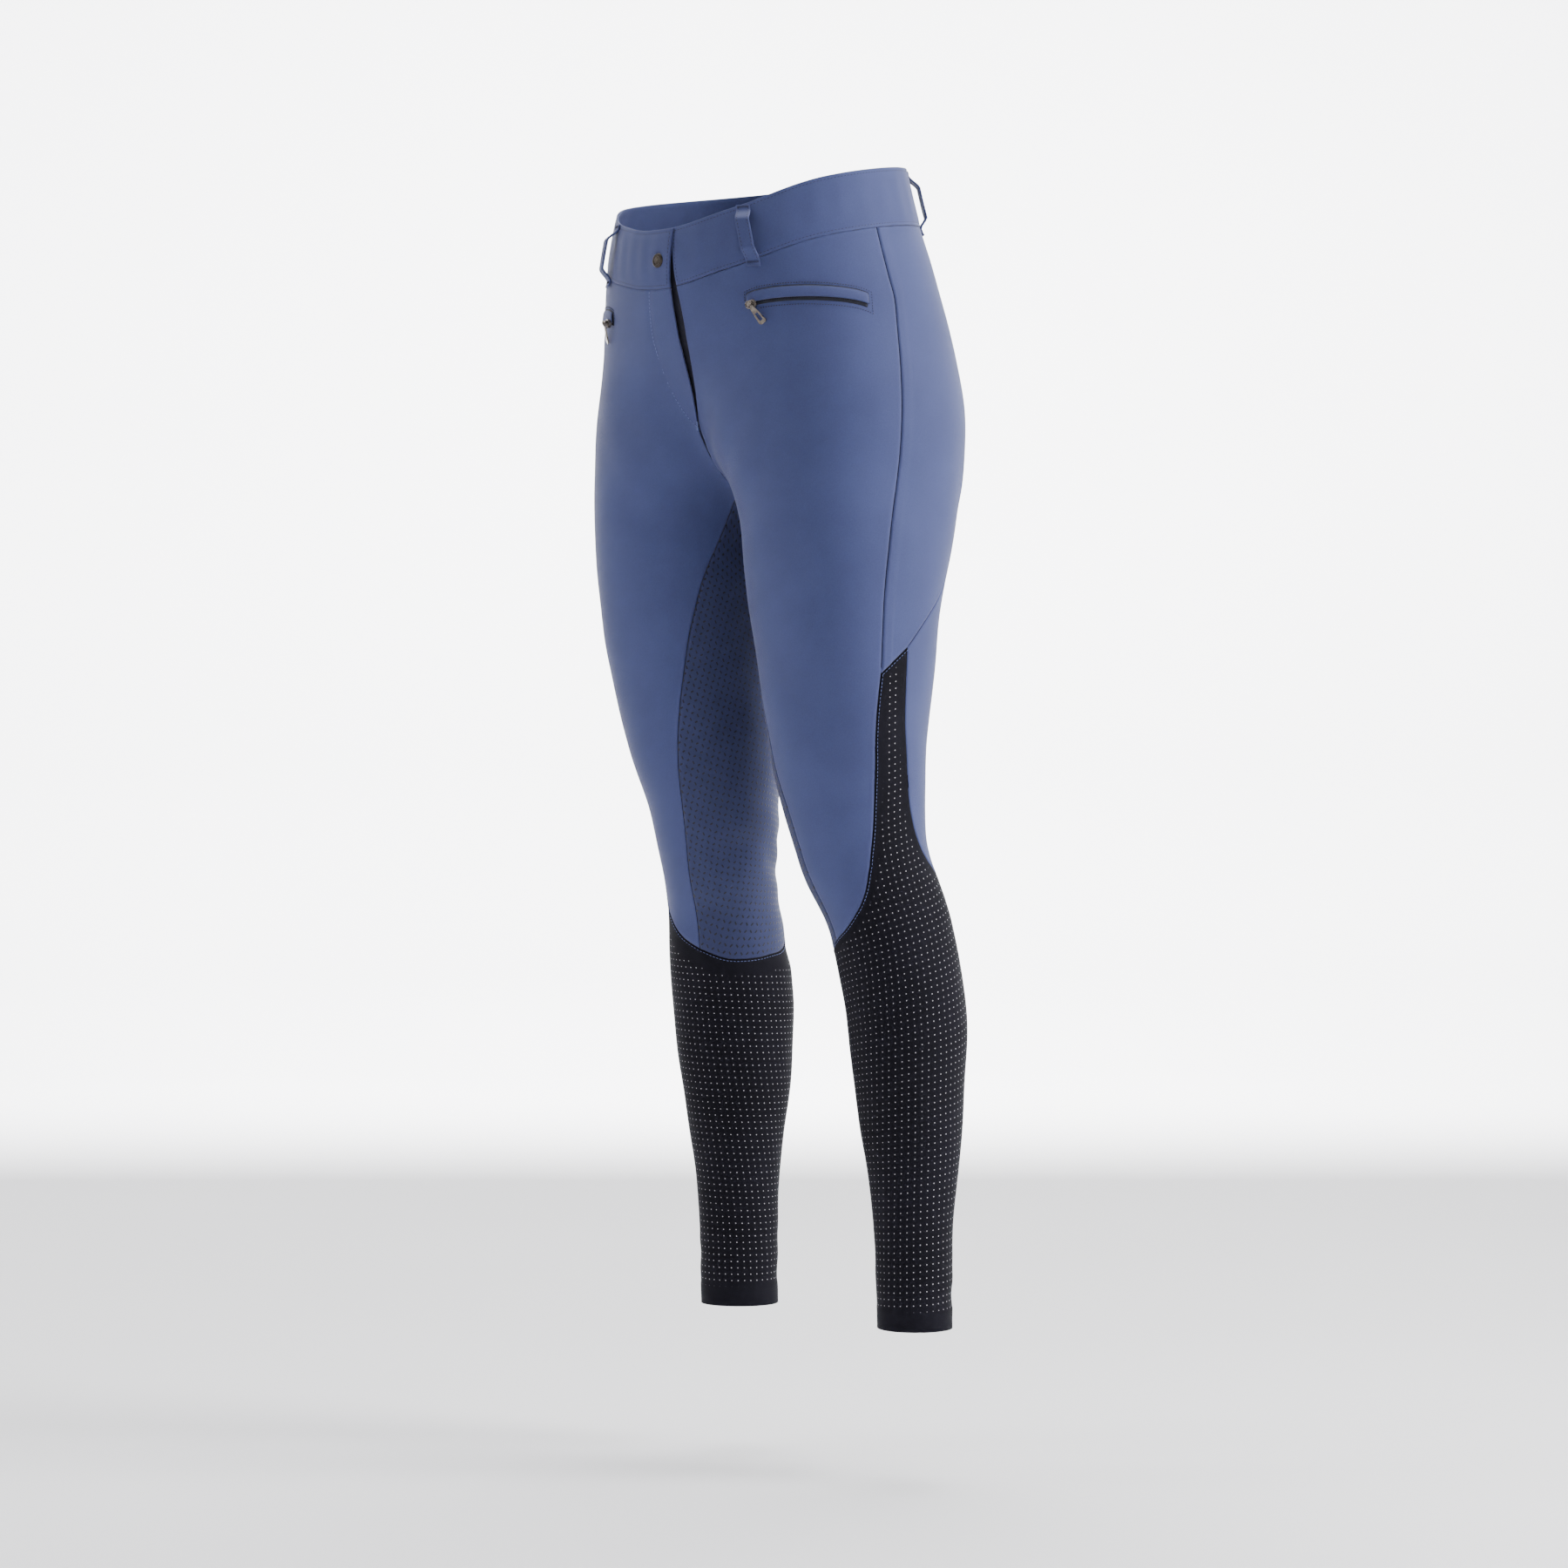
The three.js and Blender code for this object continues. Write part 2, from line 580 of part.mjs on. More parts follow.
function loopSheet({ top, bottom }) {
  const points = [];
  const normals = [];
  for (let r = 0; r <= LOOP.steps; r += 1) {
    const t = r / LOOP.steps;
    const angle = THREE.MathUtils.lerp(top, bottom, t);
    const [from, to] = [bandTopAt(top) + LOOP.above, bandSeamAt(bottom) - LOOP.below];
    const bulge = THREE.MathUtils.smoothstep(t, ...LOOP_RISE.top)
      * THREE.MathUtils.smoothstep(1 - t, ...LOOP_RISE.bottom);
    const centre = waistPoint(angle, THREE.MathUtils.lerp(from, to, t));
    const normal = clothNormal(centre).setZ(0).normalize();
    const across = new THREE.Vector3(0, 0, 1).cross(normal).multiplyScalar(LOOP.width);
    const lift = BAND_PROUD + LOOP.rest + LOOP.clear * bulge + LOOP.cloth;
    [-0.5, 0, 0.5].forEach((part) => {
      points.push(centre.clone().addScaledVector(across, part).addScaledVector(normal, lift));
      normals.push(normal);
    });
  }
  return { points, normals, triangles: gridTriangles(points, LOOP.steps, 2) };
}

// Fly guard: the dark tape behind the fly opening.

const GUARD = { top: -34, bottom: -190, left: 24, right: -14, endWidth: 10 };
const GUARD_CLOTH = { depth: 2.8, thickness: 1.2, rows: 8, columns: 3 };

function guardSheet() {
  const points = [];
  const { rows, columns } = GUARD_CLOTH;
  for (let r = 0; r <= rows; r += 1) {
    const t = r / rows;
    const height = THREE.MathUtils.lerp(GUARD.top, GUARD.bottom, t);
    const from = THREE.MathUtils.lerp(GUARD.right, -GUARD.endWidth / 2, t);
    const to = THREE.MathUtils.lerp(GUARD.left, GUARD.endWidth / 2, t);
    for (let c = 0; c <= columns; c += 1) {
      points.push(frontPoint(THREE.MathUtils.lerp(from, to, c / columns), height));
    }
  }
  return sheetOf(points, rows, columns);
}

// Snap cap on the tab of the waistband.

const SNAP = { height: -56, segments: 24 };
// The cap's profile from its foot to its middle: a rim, a sloping shoulder and a ring groove.
const SNAP_PROFILE = [
  [0, 0], [5.6, 0], [6, 0.4], [6, 0.9], [5, 1.9], [4.2, 2.4], [3.6, 2.05], [2.9, 2.4], [0, 2.5],
];

function snapCap() {
  const profile = SNAP_PROFILE.map(([r, h]) => new THREE.Vector2(r, h));
  const cap = new THREE.LatheGeometry(profile, SNAP.segments);
  const seat = frontPoint(0, SNAP.height);
  const normal = clothNormal(seat);
  cap.applyQuaternion(new THREE.Quaternion().setFromUnitVectors(new THREE.Vector3(0, 1, 0), normal));
  const place = seat.addScaledVector(normal, BAND_PROUD + SEAM_GAP);
  return cap.translate(place.x, place.y, place.z);
}

// Zip pockets on the front panels: a curved welt, the zip below it, a slider and its pull tab.

const POCKET = { from: 40, to: 79, zip: -96.5, arch: 3, droop: 2.5, columns: 14 };
const WELT = { height: 8, cloth: 1.4, gap: 2.2 };
const ZIP = { height: 4, cloth: 1.2 };

function pocketHeight(t) {
  const droop = POCKET.droop * (2 * t - 1) ** 6;
  return POCKET.zip + POCKET.arch * Math.sin(Math.PI * t) - droop;
}

function pocketStrip(above, height, from = 0, to = 1) {
  const points = [];
  for (let r = 0; r <= 1; r += 1) {
    for (let c = 0; c <= POCKET.columns; c += 1) {
      const t = THREE.MathUtils.lerp(from, to, c / POCKET.columns);
      const angle = THREE.MathUtils.lerp(POCKET.from, POCKET.to, t);
      points.push(waistPoint(angle, pocketHeight(t) + above + height * (0.5 - r)));
    }
  }
  return sheetOf(points, 1, POCKET.columns);
}

const SLIDER = { length: 9, width: 6.4, corner: 1.6, body: 2.2, at: 0.055, tilt: 4 };
const EARS = { thick: 1.1, deep: 2.6, sunk: 0.4, above: 0.5, pin: 0.7 };
const PULL = { length: 19, top: 3.2, bottom: 6.8, plate: 1.2, corner: 1.4, lean: 15, swing: 22 };
const SLOT = { top: 2.6, bottom: 3.2, from: 3, to: 10 };
const EYE = { inner: 1.1, outer: 1.9, width: 3.2, clear: 0.35, reach: 0.6 };
const SLIDER_LIFT = WELT.cloth + SEAM_GAP * 2;
const PIN_LIFT = SLIDER_LIFT + SLIDER.body + EYE.outer + EYE.clear;

function solidOf(geometry) {
  const bare = geometry.clone();
  bare.deleteAttribute('normal');
  bare.deleteAttribute('uv');
  const merged = mergeVertices(bare, 1e-4);
  return new wasm.Manifold(new wasm.Mesh({
    numProp: 3,
    vertProperties: new Float32Array(merged.attributes.position.array),
    triVerts: new Uint32Array(merged.index.array),
  }));
}

function geometryOf(solid) {
  const mesh = solid.getMesh();
  const geometry = new THREE.BufferGeometry();
  const positions = Array.from(mesh.vertProperties);
  geometry.setAttribute('position', new THREE.Float32BufferAttribute(positions, 3));
  geometry.setIndex(Array.from(mesh.triVerts));
  return geometry;
}

function plate(outline, depth, holes = []) {
  const toPath = (points) => new THREE.Path(points.map(([x, y]) => new THREE.Vector2(x, y)));
  const shape = new THREE.Shape(outline.map(([x, y]) => new THREE.Vector2(x, y)));
  shape.holes = holes.map(toPath);
  return new THREE.ExtrudeGeometry(shape, { depth, bevelEnabled: false, steps: 1 });
}

function roundedBox(length, width, corner) {
  const [x, y] = [length / 2, width / 2];
  return [
    [-x + corner, -y], [x - corner, -y], [x, -y + corner], [x, y - corner],
    [x - corner, y], [-x + corner, y], [-x, y - corner], [-x, -y + corner],
  ];
}

const PIN_SIDES = 12;
const EYE_SIDES = 16;
const alongX = (radius, length, sides) => (
  new THREE.CylinderGeometry(radius, radius, length, sides).rotateZ(Math.PI / 2)
);

// The slider in its own frame: X along the zip, Y up the cloth, Z out of it.
function sliderShape() {
  const body = plate(roundedBox(SLIDER.length, SLIDER.width, SLIDER.corner), SLIDER.body);
  const earAt = EYE.width / 2 + SEAM_GAP + EARS.thick / 2;
  const pinAt = PIN_LIFT - SLIDER_LIFT;
  const [low, high] = [SLIDER.body - EARS.sunk, pinAt + EARS.pin + EARS.above];
  const ears = [-earAt, earAt].map((x) => (
    new THREE.BoxGeometry(EARS.thick, EARS.deep, high - low).translate(x, 0, (low + high) / 2)
  ));
  const pin = alongX(EARS.pin, 2 * earAt, PIN_SIDES).translate(0, 0, pinAt);
  const hinge = [...ears, pin].map((piece) => solidOf(piece.rotateZ(radians(PULL.swing))));
  const solid = hinge.reduce((sum, piece) => sum.add(piece), solidOf(body));
  return geometryOf(solid).translate(0, 0, SLIDER_LIFT);
}

// The pull tab hangs from the pin, a flared plate with a slot, its lower end close to the cloth.
function pullShape() {
  const [a, b, end, corner] = [PULL.top / 2, PULL.bottom / 2, -PULL.length, PULL.corner];
  const outline = [
    [-b, end + corner], [-b + corner, end], [b - corner, end], [b, end + corner],
    [a, -EYE.reach], [-a, -EYE.reach],
  ];
  const [slotLow, slotHigh] = [end + SLOT.from, end + SLOT.to];
  const slot = [
    [-SLOT.bottom / 2, slotLow], [SLOT.bottom / 2, slotLow],
    [SLOT.top / 2, slotHigh], [-SLOT.top / 2, slotHigh],
  ];
  const tab = plate(outline, PULL.plate, [slot]).translate(0, 0, -PULL.plate / 2);
  const ring = solidOf(alongX(EYE.outer, EYE.width, EYE_SIDES));
  const bore = solidOf(alongX(EYE.inner, 2 * EYE.width, EYE_SIDES));
  const whole = geometryOf(solidOf(tab).add(ring).subtract(bore));
  return whole.rotateX(radians(PULL.lean)).rotateZ(radians(PULL.swing)).translate(0, 0, PIN_LIFT);
}

function sliderFrame() {
  const t = SLIDER.at;
  const angle = THREE.MathUtils.lerp(POCKET.from, POCKET.to, t);
  const seat = waistPoint(angle, pocketHeight(t));
  const ahead = waistPoint(angle + 3, pocketHeight(t) + 1);
  const out = clothNormal(seat);
  const along = ahead.sub(seat).projectOnPlane(out).normalize();
  along.applyAxisAngle(out, radians(SLIDER.tilt));
  const up = out.clone().cross(along);
  return new THREE.Matrix4().makeBasis(along, up, out).setPosition(seat);
}

function addPocket(side) {
  const welt = pocketStrip(WELT.gap + WELT.height / 2, WELT.height);
  const zip = pocketStrip(0, ZIP.height, 0.01, 0.99);
  add(`welt_${side}`, side, wall(welt, SEAM_GAP + WELT.cloth, WELT.cloth, 0), BLUE);
  add(`zip_${side}`, side, wall(zip, SEAM_GAP + ZIP.cloth, ZIP.cloth, 0), NAVY_TAPE);
  add(`slider_${side}`, side, sliderShape().applyMatrix4(sliderFrame()), SILVER);
  add(`pull_${side}`, side, pullShape().applyMatrix4(sliderFrame()), SILVER);
}

// The whole garment

for (const side of ['left', 'right']) {
  const seams = halfSeams(side);
  addPanels(seams);
  add(`mesh_${side}`, side, wall(meshSheet(seams), 0, MESH_CLOTH), BLACK_MESH);
  add(`waistband_${side}`, side, wall(bandSheet(seams.bandAngles), BAND_PROUD, BAND_CLOTH), BLUE);
  addPocket(side);
}
LOOPS.forEach((loop) => {
  add(loop.name, loop.side, wall(loopSheet(loop), 0, LOOP.cloth, 0), BLUE);
});
add('fly_guard', 'left', wall(guardSheet(), -GUARD_CLOTH.depth, GUARD_CLOTH.thickness, 0), NAVY_TAPE);
add('snap_cap', 'left', geometryOf(solidOf(snapCap())), BRONZE);

export default group;
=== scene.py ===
import math

import bmesh
import bpy
import numpy as np
from mathutils import Matrix, Vector


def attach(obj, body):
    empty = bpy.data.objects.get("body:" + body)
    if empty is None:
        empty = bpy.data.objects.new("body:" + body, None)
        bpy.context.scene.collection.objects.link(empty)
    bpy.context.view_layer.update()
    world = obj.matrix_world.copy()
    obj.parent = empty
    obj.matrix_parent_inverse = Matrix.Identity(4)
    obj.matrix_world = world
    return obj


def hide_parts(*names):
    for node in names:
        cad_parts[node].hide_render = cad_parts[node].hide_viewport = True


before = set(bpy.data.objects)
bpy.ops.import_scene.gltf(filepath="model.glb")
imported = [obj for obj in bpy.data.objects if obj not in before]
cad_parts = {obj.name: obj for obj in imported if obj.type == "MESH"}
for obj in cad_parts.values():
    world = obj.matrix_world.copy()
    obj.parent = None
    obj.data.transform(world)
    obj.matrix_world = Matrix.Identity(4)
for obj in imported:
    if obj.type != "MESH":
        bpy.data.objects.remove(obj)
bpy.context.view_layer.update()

# Camera: at the photograph's side, 47 degrees round from the front and level with the thighs,
# with a long lens, so that the picture is nearly flat.
VIEW_TURN = math.radians(47)
VIEW_DISTANCE = 3.2
FRAME_WIDTH = 1.3014
FRAME_RIGHT = 0.02024
FRAME_HEIGHT = -0.48
camera_data = bpy.data.cameras.new("camera")
camera_data.sensor_width = 36
camera_data.lens = camera_data.sensor_width * VIEW_DISTANCE / FRAME_WIDTH
camera = bpy.data.objects.new("camera", camera_data)
sideways = Vector((math.cos(VIEW_TURN), math.sin(VIEW_TURN), 0))
backwards = Vector((math.sin(VIEW_TURN), -math.cos(VIEW_TURN), 0))
camera.location = sideways * FRAME_RIGHT + backwards * VIEW_DISTANCE + Vector((0, 0, FRAME_HEIGHT))
camera.rotation_euler = (math.radians(90), 0, VIEW_TURN)
bpy.context.collection.objects.link(camera)
bpy.context.scene.camera = camera

# Front panels: matt two-way stretch twill, cut in one from the waistband to the knee and pulled
# smooth over the thigh. The worn shape is the same as the solids': level sections of one leg and
# the side of the body above it, which run softly into those of the other leg. Sizes are in mm.
# Height, the middle's x and y, and the reach from there outwards, inwards, forwards and backwards.
SECTIONS = [
    (60, 20, 6, 105, 90, 86, 84),
    (0, 22, 5, 114, 92, 94, 97),
    (-60, 27, 11, 124, 96, 108, 106),
    (-120, 39, 18, 124, 99, 110, 112),
    (-160, 56, 18, 116, 97, 104, 111),
    (-205, 69, 17, 108, 90, 100, 107),
    (-250, 86, 15, 88, 80, 94, 97),
    (-300, 91, 11, 82, 79, 84, 84),
    (-350, 93, 9, 75, 75, 75, 75),
    (-400, 91, 12, 70, 69, 69, 70),
    (-450, 88, 17, 64, 64, 64, 64),
    (-490, 85.5, 24, 60, 60, 57, 57),
    (-530, 87.5, 32, 55, 55, 52, 52),
    (-560, 93, 40, 54.5, 54.5, 48, 48),
    (-590, 99.5, 51, 52, 52, 48, 48),
    (-620, 103, 58, 51, 51, 51, 51),
    (-660, 105.5, 65.5, 50, 50, 52, 52),
    (-700, 106, 68.5, 48, 48, 50.5, 50.5),
    (-740, 106, 70.5, 44.5, 44.5, 46.5, 46.5),
    (-780, 107, 72, 40, 40, 40.5, 40.5),
    (-820, 107, 73, 35, 35, 36, 36),
    (-930, 107, 75, 31, 31, 33, 33),
]
# Height, then how softly the halves run into each other at the front and at the back.
SOFTNESS = [
    (60, 100, 70), (-60, 100, 70), (-120, 90, 60), (-160, 60, 53), (-200, 36, 46),
    (-250, 40, 40), (-300, 25, 25), (-400, 10, 10), (-1000, 10, 10),
]
TURN = [(60, 0), (-400, 0), (-450, 45), (-930, 45)]
TILT = [(60, 0), (-60, 0), (-120, 0.3), (-188, 0.7), (-260, 0.55), (-360, 0.2), (-450, 0), (-930, 0)]
ROUNDNESS = 2.1
RAY_STEP = 5
RAY_END = 400
RAY_HALVINGS = 16


def smooth_table(rows):
    """Natural cubic splines through a table's rows, one for each column after the first."""
    table = np.array(sorted(rows), float)
    knots, values = table[:, 0], table[:, 1:]
    step = np.diff(knots)
    lines = np.eye(len(knots))
    right = np.zeros_like(values)
    for i in range(1, len(knots) - 1):
        lines[i, i - 1:i + 2] = step[i - 1], 2 * (step[i - 1] + step[i]), step[i]
        slopes = np.diff(values[i - 1:i + 2], axis=0) / step[i - 1:i + 1, None]
        right[i] = 6 * (slopes[1] - slopes[0])
    bend = np.linalg.solve(lines, right)

    def at(where):
        where = np.clip(where, knots[0], knots[-1])
        i = np.clip(np.searchsorted(knots, where) - 1, 0, len(step) - 1)
        before, after, h = ((knots[i + 1] - where)[:, None], (where - knots[i])[:, None], step[i][:, None])
        return ((bend[i] * before**3 + bend[i + 1] * after**3) / (6 * h)
                + (values[i] / h - bend[i] * h / 6) * before
                + (values[i + 1] / h - bend[i + 1] * h / 6) * after)

    return at


def straight_table(rows):
    """Straight lines between a table's rows, one for each column after the first."""
    table = np.array(sorted(rows), float)
    return lambda where: np.stack([np.interp(where, table[:, 0], c) for c in table[:, 1:].T], -1)


def smoothstep(value, low, high):
    t = np.clip((value - low) / (high - low), 0, 1)
    return t * t * (3 - 2 * t)


section_at, softness_at = smooth_table(SECTIONS), straight_table(SOFTNESS)
turn_at, tilt_at = straight_table(TURN), smooth_table(TILT)


def form(points):
    """How far points lie outside the worn shape. Below zero they are inside it."""
    x, y, z = points.T
    middle_x, middle_y, outer, inner, front, back = section_at(z).T
    soft_front, soft_back = softness_at(z).T
    turn = np.radians(turn_at(z)[:, 0])
    halves = []
    for ex in (x - middle_x, -x - middle_x):
        ey = y - middle_y
        across = ex * np.cos(turn) + ey * np.sin(turn)
        along = ey * np.cos(turn) - ex * np.sin(turn)
        ratio = (np.abs(across / np.where(across > 0, outer, inner))**ROUNDNESS
                 + np.abs(along / np.where(along < 0, front, back))**ROUNDNESS)**(1 / ROUNDNESS)
        halves.append(np.hypot(ex, ey) * (1 - 1 / np.maximum(ratio, 1e-6)))
    left, right = halves
    backward = smoothstep(y - middle_y, -60, 60)
    reach = soft_front * (1 - backward) + soft_back * backward
    blend = np.maximum(reach - np.abs(left - right), 0) / reach
    return np.minimum(left, right) - blend**3 * reach / 6


def first_crossing(start, direction):
    """Follows rays outwards to where each first leaves the worn shape."""
    reach = np.full(len(start), float(RAY_STEP))
    going = np.arange(len(start))
    while len(going) and reach.max() < RAY_END:
        inside = form(start[going] + direction[going] * reach[going, None]) <= 0
        going = going[inside]
        reach[going] += RAY_STEP
    low, high = reach - RAY_STEP, reach
    for _ in range(RAY_HALVINGS):
        middle = (low + high) / 2
        outside = form(start + direction * middle[:, None]) > 0
        low, high = np.where(outside, low, middle), np.where(outside, middle, high)
    return start + direction * ((low + high) / 2)[:, None]


def cloth_points(places):
    """Points of the left half's cloth. A place is an angle round the leg and a level on its middle."""
    turn, level = np.radians(places[:, 0]), places[:, 1]
    middle = np.column_stack([section_at(level)[:, :2], level])
    falling = np.sin(turn) * tilt_at(level)[:, 0]
    return first_crossing(middle, np.column_stack([np.sin(turn), -np.cos(turn), falling]))


def cloth_normals(points):
    slope = [form(points + step) - form(points - step) for step in np.eye(3) / 2]
    slope = np.column_stack(slope)
    return slope / np.linalg.norm(slope, axis=1, keepdims=True)


def halved(too_high, count):
    """Finds a level for each of several places by halving, from a test of whether it is too high."""
    low, high = np.full(count, -1000.0), np.full(count, 100.0)
    for _ in range(30):
        middle = (low + high) / 2
        over = too_high(middle)
        low, high = np.where(over, low, middle), np.where(over, middle, high)
    return (low + high) / 2


def place_of(points, like_angle):
    """The places of points on the cloth, with angles near a given one."""
    def over(level):
        return level + (points[:, 0] - section_at(level)[:, 0]) * tilt_at(level)[:, 0] > points[:, 2]
    level = halved(over, len(points))
    middle = section_at(level)
    angle = np.degrees(np.arctan2(points[:, 0] - middle[:, 0], middle[:, 1] - points[:, 1]))
    return np.column_stack([angle + 360 * np.round((like_angle - angle) / 360), level])


def places_at_heights(rows):
    angle, height = np.array(rows, float).T
    level = halved(lambda level: cloth_points(np.column_stack([angle, level]))[:, 2] > height, len(rows))
    return np.column_stack([angle, level])


# The waistband's top edge: angle round the waist, height. Its lower seam runs 48 mm below.
WAIST_MIDDLE = 8
WAIST_FRONT = 118
BAND_HEIGHT = 48
BAND_TOP = [
    (-30, -30), (0, -30.5), (17, -27), (27, -22), (36, -17.4), (45, -11.3), (55, -3), (65, 4.4),
    (75, 10), (87, 15.6), (105, 22), (140, 28), (180, 30),
]
band_top_at = smooth_table(BAND_TOP)


def band_heights(angles, below):
    return band_top_at(angles)[:, 0] - below


def waist_points(angles, heights):
    turn = np.radians(angles)
    start = np.column_stack([0 * turn, 0 * turn + WAIST_MIDDLE, 0 * turn + heights])
    return first_crossing(start, np.column_stack([np.sin(turn), -np.cos(turn), 0 * turn]))


def front_points(across, heights):
    start = np.column_stack([across, 0 * across + WAIST_MIDDLE, 0 * across + heights])
    return first_crossing(start, np.column_stack([0 * across, 0 * across - 1, 0 * across]))


RISE_MIDDLE = (12, -60)


def rise_points(angles):
    turn = np.radians(angles)
    start = np.column_stack([0 * turn, 0 * turn + RISE_MIDDLE[0], 0 * turn + RISE_MIDDLE[1]])
    return first_crossing(start, np.column_stack([0 * turn, -np.cos(turn), -np.sin(turn)]))


# Seams of one leg: angle round the leg, height. The inner seam has levels instead of heights.
SIDE_SEAM_WAIST = 85
BACK_SEAM_WAIST = 138
SIDE_SEAM = [
    (84, -57), (82.5, -80), (80.5, -130), (78, -165), (76, -200), (74.5, -243), (71.5, -290),
    (69.7, -337), (69, -392),
]
WEDGE_FRONT = [(69, -392), (67, -420), (66.2, -442), (66, -474), (62.7, -507), (58.4, -525.6), (51, -546)]
KNEE_FRONT = [(51, -546), (40.6, -563), (28, -576.4), (15, -587), (0, -598), (-20, -608)]
WEDGE_TOP = [(69, -392), (78, -382), (88.5, -371)]
BACK_SEAM = [
    (142, -60), (137, -108), (137, -180), (140, -235), (139, -280), (135, -305), (122, -327),
    (103, -351), (88.5, -371),
]
WEDGE_BACK = [
    (88.5, -371), (89, -398), (90.4, -429), (93.6, -462), (96.5, -487), (100.2, -507),
    (106, -525), (118, -543), (150, -562),
]
KNEE_BACK = [
    (150, -562), (180, -578), (205, -592), (225, -602), (250, -610), (270, -613), (290, -616),
    (315, -616), (340, -608),
]
INNER_SEAM = [
    (-56.6, -226), (-54, -252), (-50.7, -284), (-47.4, -327), (-42.8, -368), (-35.7, -408),
    (-30, -440), (-25, -469), (-21, -498), (-19.5, -533), (-20.5, -572),
]
# The fly's two edges: height, then how far the left front's and the right one's lie to the left of
# the middle. The right one laps over, and the left one curves back from it to leave a dark gap.
FLY_EDGES = [
    (-30, 12, 15), (-45, 13.5, 14.5), (-60, 15.5, 13.5), (-78, 18, 12.5), (-95, 20.5, 13),
    (-114, 21, 13), (-135, 18, 11.5), (-155, 12.5, 8), (-172, 6.2, 4), (-183, 2.2, 1.4), (-189, 0, 0),
]
fly_edges_at = smooth_table(FLY_EDGES)
FLY_END = -189
FLY_END_ANGLE = 59
INNER_SEAM_ANGLE = 79
RIGHT_KNEE_DROP = 12


def curve_through(places, samples=30):
    """An even curve through places, with its ends carried on straight."""
    p = np.array(places, float)
    p = np.vstack([2 * p[0] - p[1], p, 2 * p[-1] - p[-2]])
    gap = np.sqrt(np.linalg.norm(np.diff(p, axis=0), axis=1))
    t = np.linspace(0, 1, samples, endpoint=False)[:, None]
    parts = []
    for i in range(1, len(p) - 2):
        a, b, c, d = p[i - 1:i + 3]
        before, here, after = gap[i - 1:i + 2]
        leave = ((b - a) / before - (c - a) / (before + here) + (c - b) / here) * here
        arrive = ((c - b) / here - (d - b) / (here + after) + (d - c) / after) * here
        parts.append(b + leave * t + (3 * (c - b) - 2 * leave - arrive) * t**2
                     + (2 * (b - c) + leave + arrive) * t**3)
    return np.vstack([*parts, p[-2:-1]])


def seam_line(places):
    """A seam along the cloth, with the share of its length reached at each place."""
    points = cloth_points(places)
    length = np.concatenate([[0], np.cumsum(np.linalg.norm(np.diff(points, axis=0), axis=1))])
    return {"places": places, "points": points, "share": length / length[-1], "length": length[-1]}


def along(seam, shares):
    return np.column_stack([np.interp(shares, seam["share"], seam["places"][:, k]) for k in (0, 1)])


def turned_back(seam):
    return {**seam, "places": seam["places"][::-1], "points": seam["points"][::-1],
            "share": 1 - seam["share"][::-1]}


def fly_edge(side, heights):
    """How far a front's edge lies beyond the middle, in its own half."""
    return fly_edges_at(heights)[:, 0] if side == "left" else -fly_edges_at(heights)[:, 1]


def band_end(side, below):
    """The angle round the waist at which half the waistband ends at the fly."""
    heights = np.atleast_1d(band_top_at(np.zeros(1))[0, 0] - below)
    return np.degrees(np.arctan2(fly_edge(side, heights), WAIST_FRONT))[0]


def half_seams(side):
    """Every seam of one half, in the left half's places."""
    def drop(heights):
        return RIGHT_KNEE_DROP * smoothstep(-heights, 440, 590) * (side == "right")

    def sewn(rows):
        rows = np.array(rows, float)
        rows[:, 1] -= drop(rows[:, 1])
        return places_at_heights(rows)

    def waist(low, high):
        angles = np.linspace(low, high, 41)
        return place_of(waist_points(angles, band_heights(angles, BAND_HEIGHT)), angles)

    front_top = waist(band_end(side, BAND_HEIGHT), SIDE_SEAM_WAIST)
    side_top = waist(SIDE_SEAM_WAIST, BACK_SEAM_WAIST)
    seat_top = waist(BACK_SEAM_WAIST, 180)
    top = cloth_points(front_top[:1])[0]
    heights = np.linspace(top[2], FLY_END, 40)
    edge = fly_edge(side, heights)
    fly = place_of(front_points(edge + (top[0] - edge[0]) * np.linspace(1, 0, 40)**2, heights), 0)
    front_rise = place_of(rise_points(np.linspace(FLY_END_ANGLE, INNER_SEAM_ANGLE, 13)), -30)
    back_top = cloth_points(seat_top[-1:])[0]
    slope = 180 + math.degrees(math.atan2(back_top[2] - RISE_MIDDLE[1], back_top[1] - RISE_MIDDLE[0]))
    back_rise = place_of(rise_points(np.linspace(slope, INNER_SEAM_ANGLE, 61)), 270)
    knee_front = sewn(KNEE_FRONT)
    inner = np.array(INNER_SEAM, float)
    inner[:, 1] -= drop(inner[:, 1])
    lines = {
        "front_top": front_top, "side_top": side_top, "seat_top": seat_top, "fly": fly,
        "front_rise": front_rise, "back_rise": back_rise,
        "side_seam": curve_through([side_top[0], *sewn(SIDE_SEAM)]),
        "back_seam": curve_through([seat_top[0], *sewn(BACK_SEAM)]),
        "inner_seam": curve_through([front_rise[-1], *inner, knee_front[-1]]),
        "wedge_front": curve_through(sewn(WEDGE_FRONT)),
        "wedge_top": curve_through(sewn(WEDGE_TOP)),
        "wedge_back": curve_through(sewn(WEDGE_BACK)),
        "knee_front": curve_through(knee_front),
        "knee_back": curve_through(sewn(KNEE_BACK)),
    }
    return {name: seam_line(places) for name, places in lines.items()}


seams = {side: half_seams(side) for side in ("left", "right")}

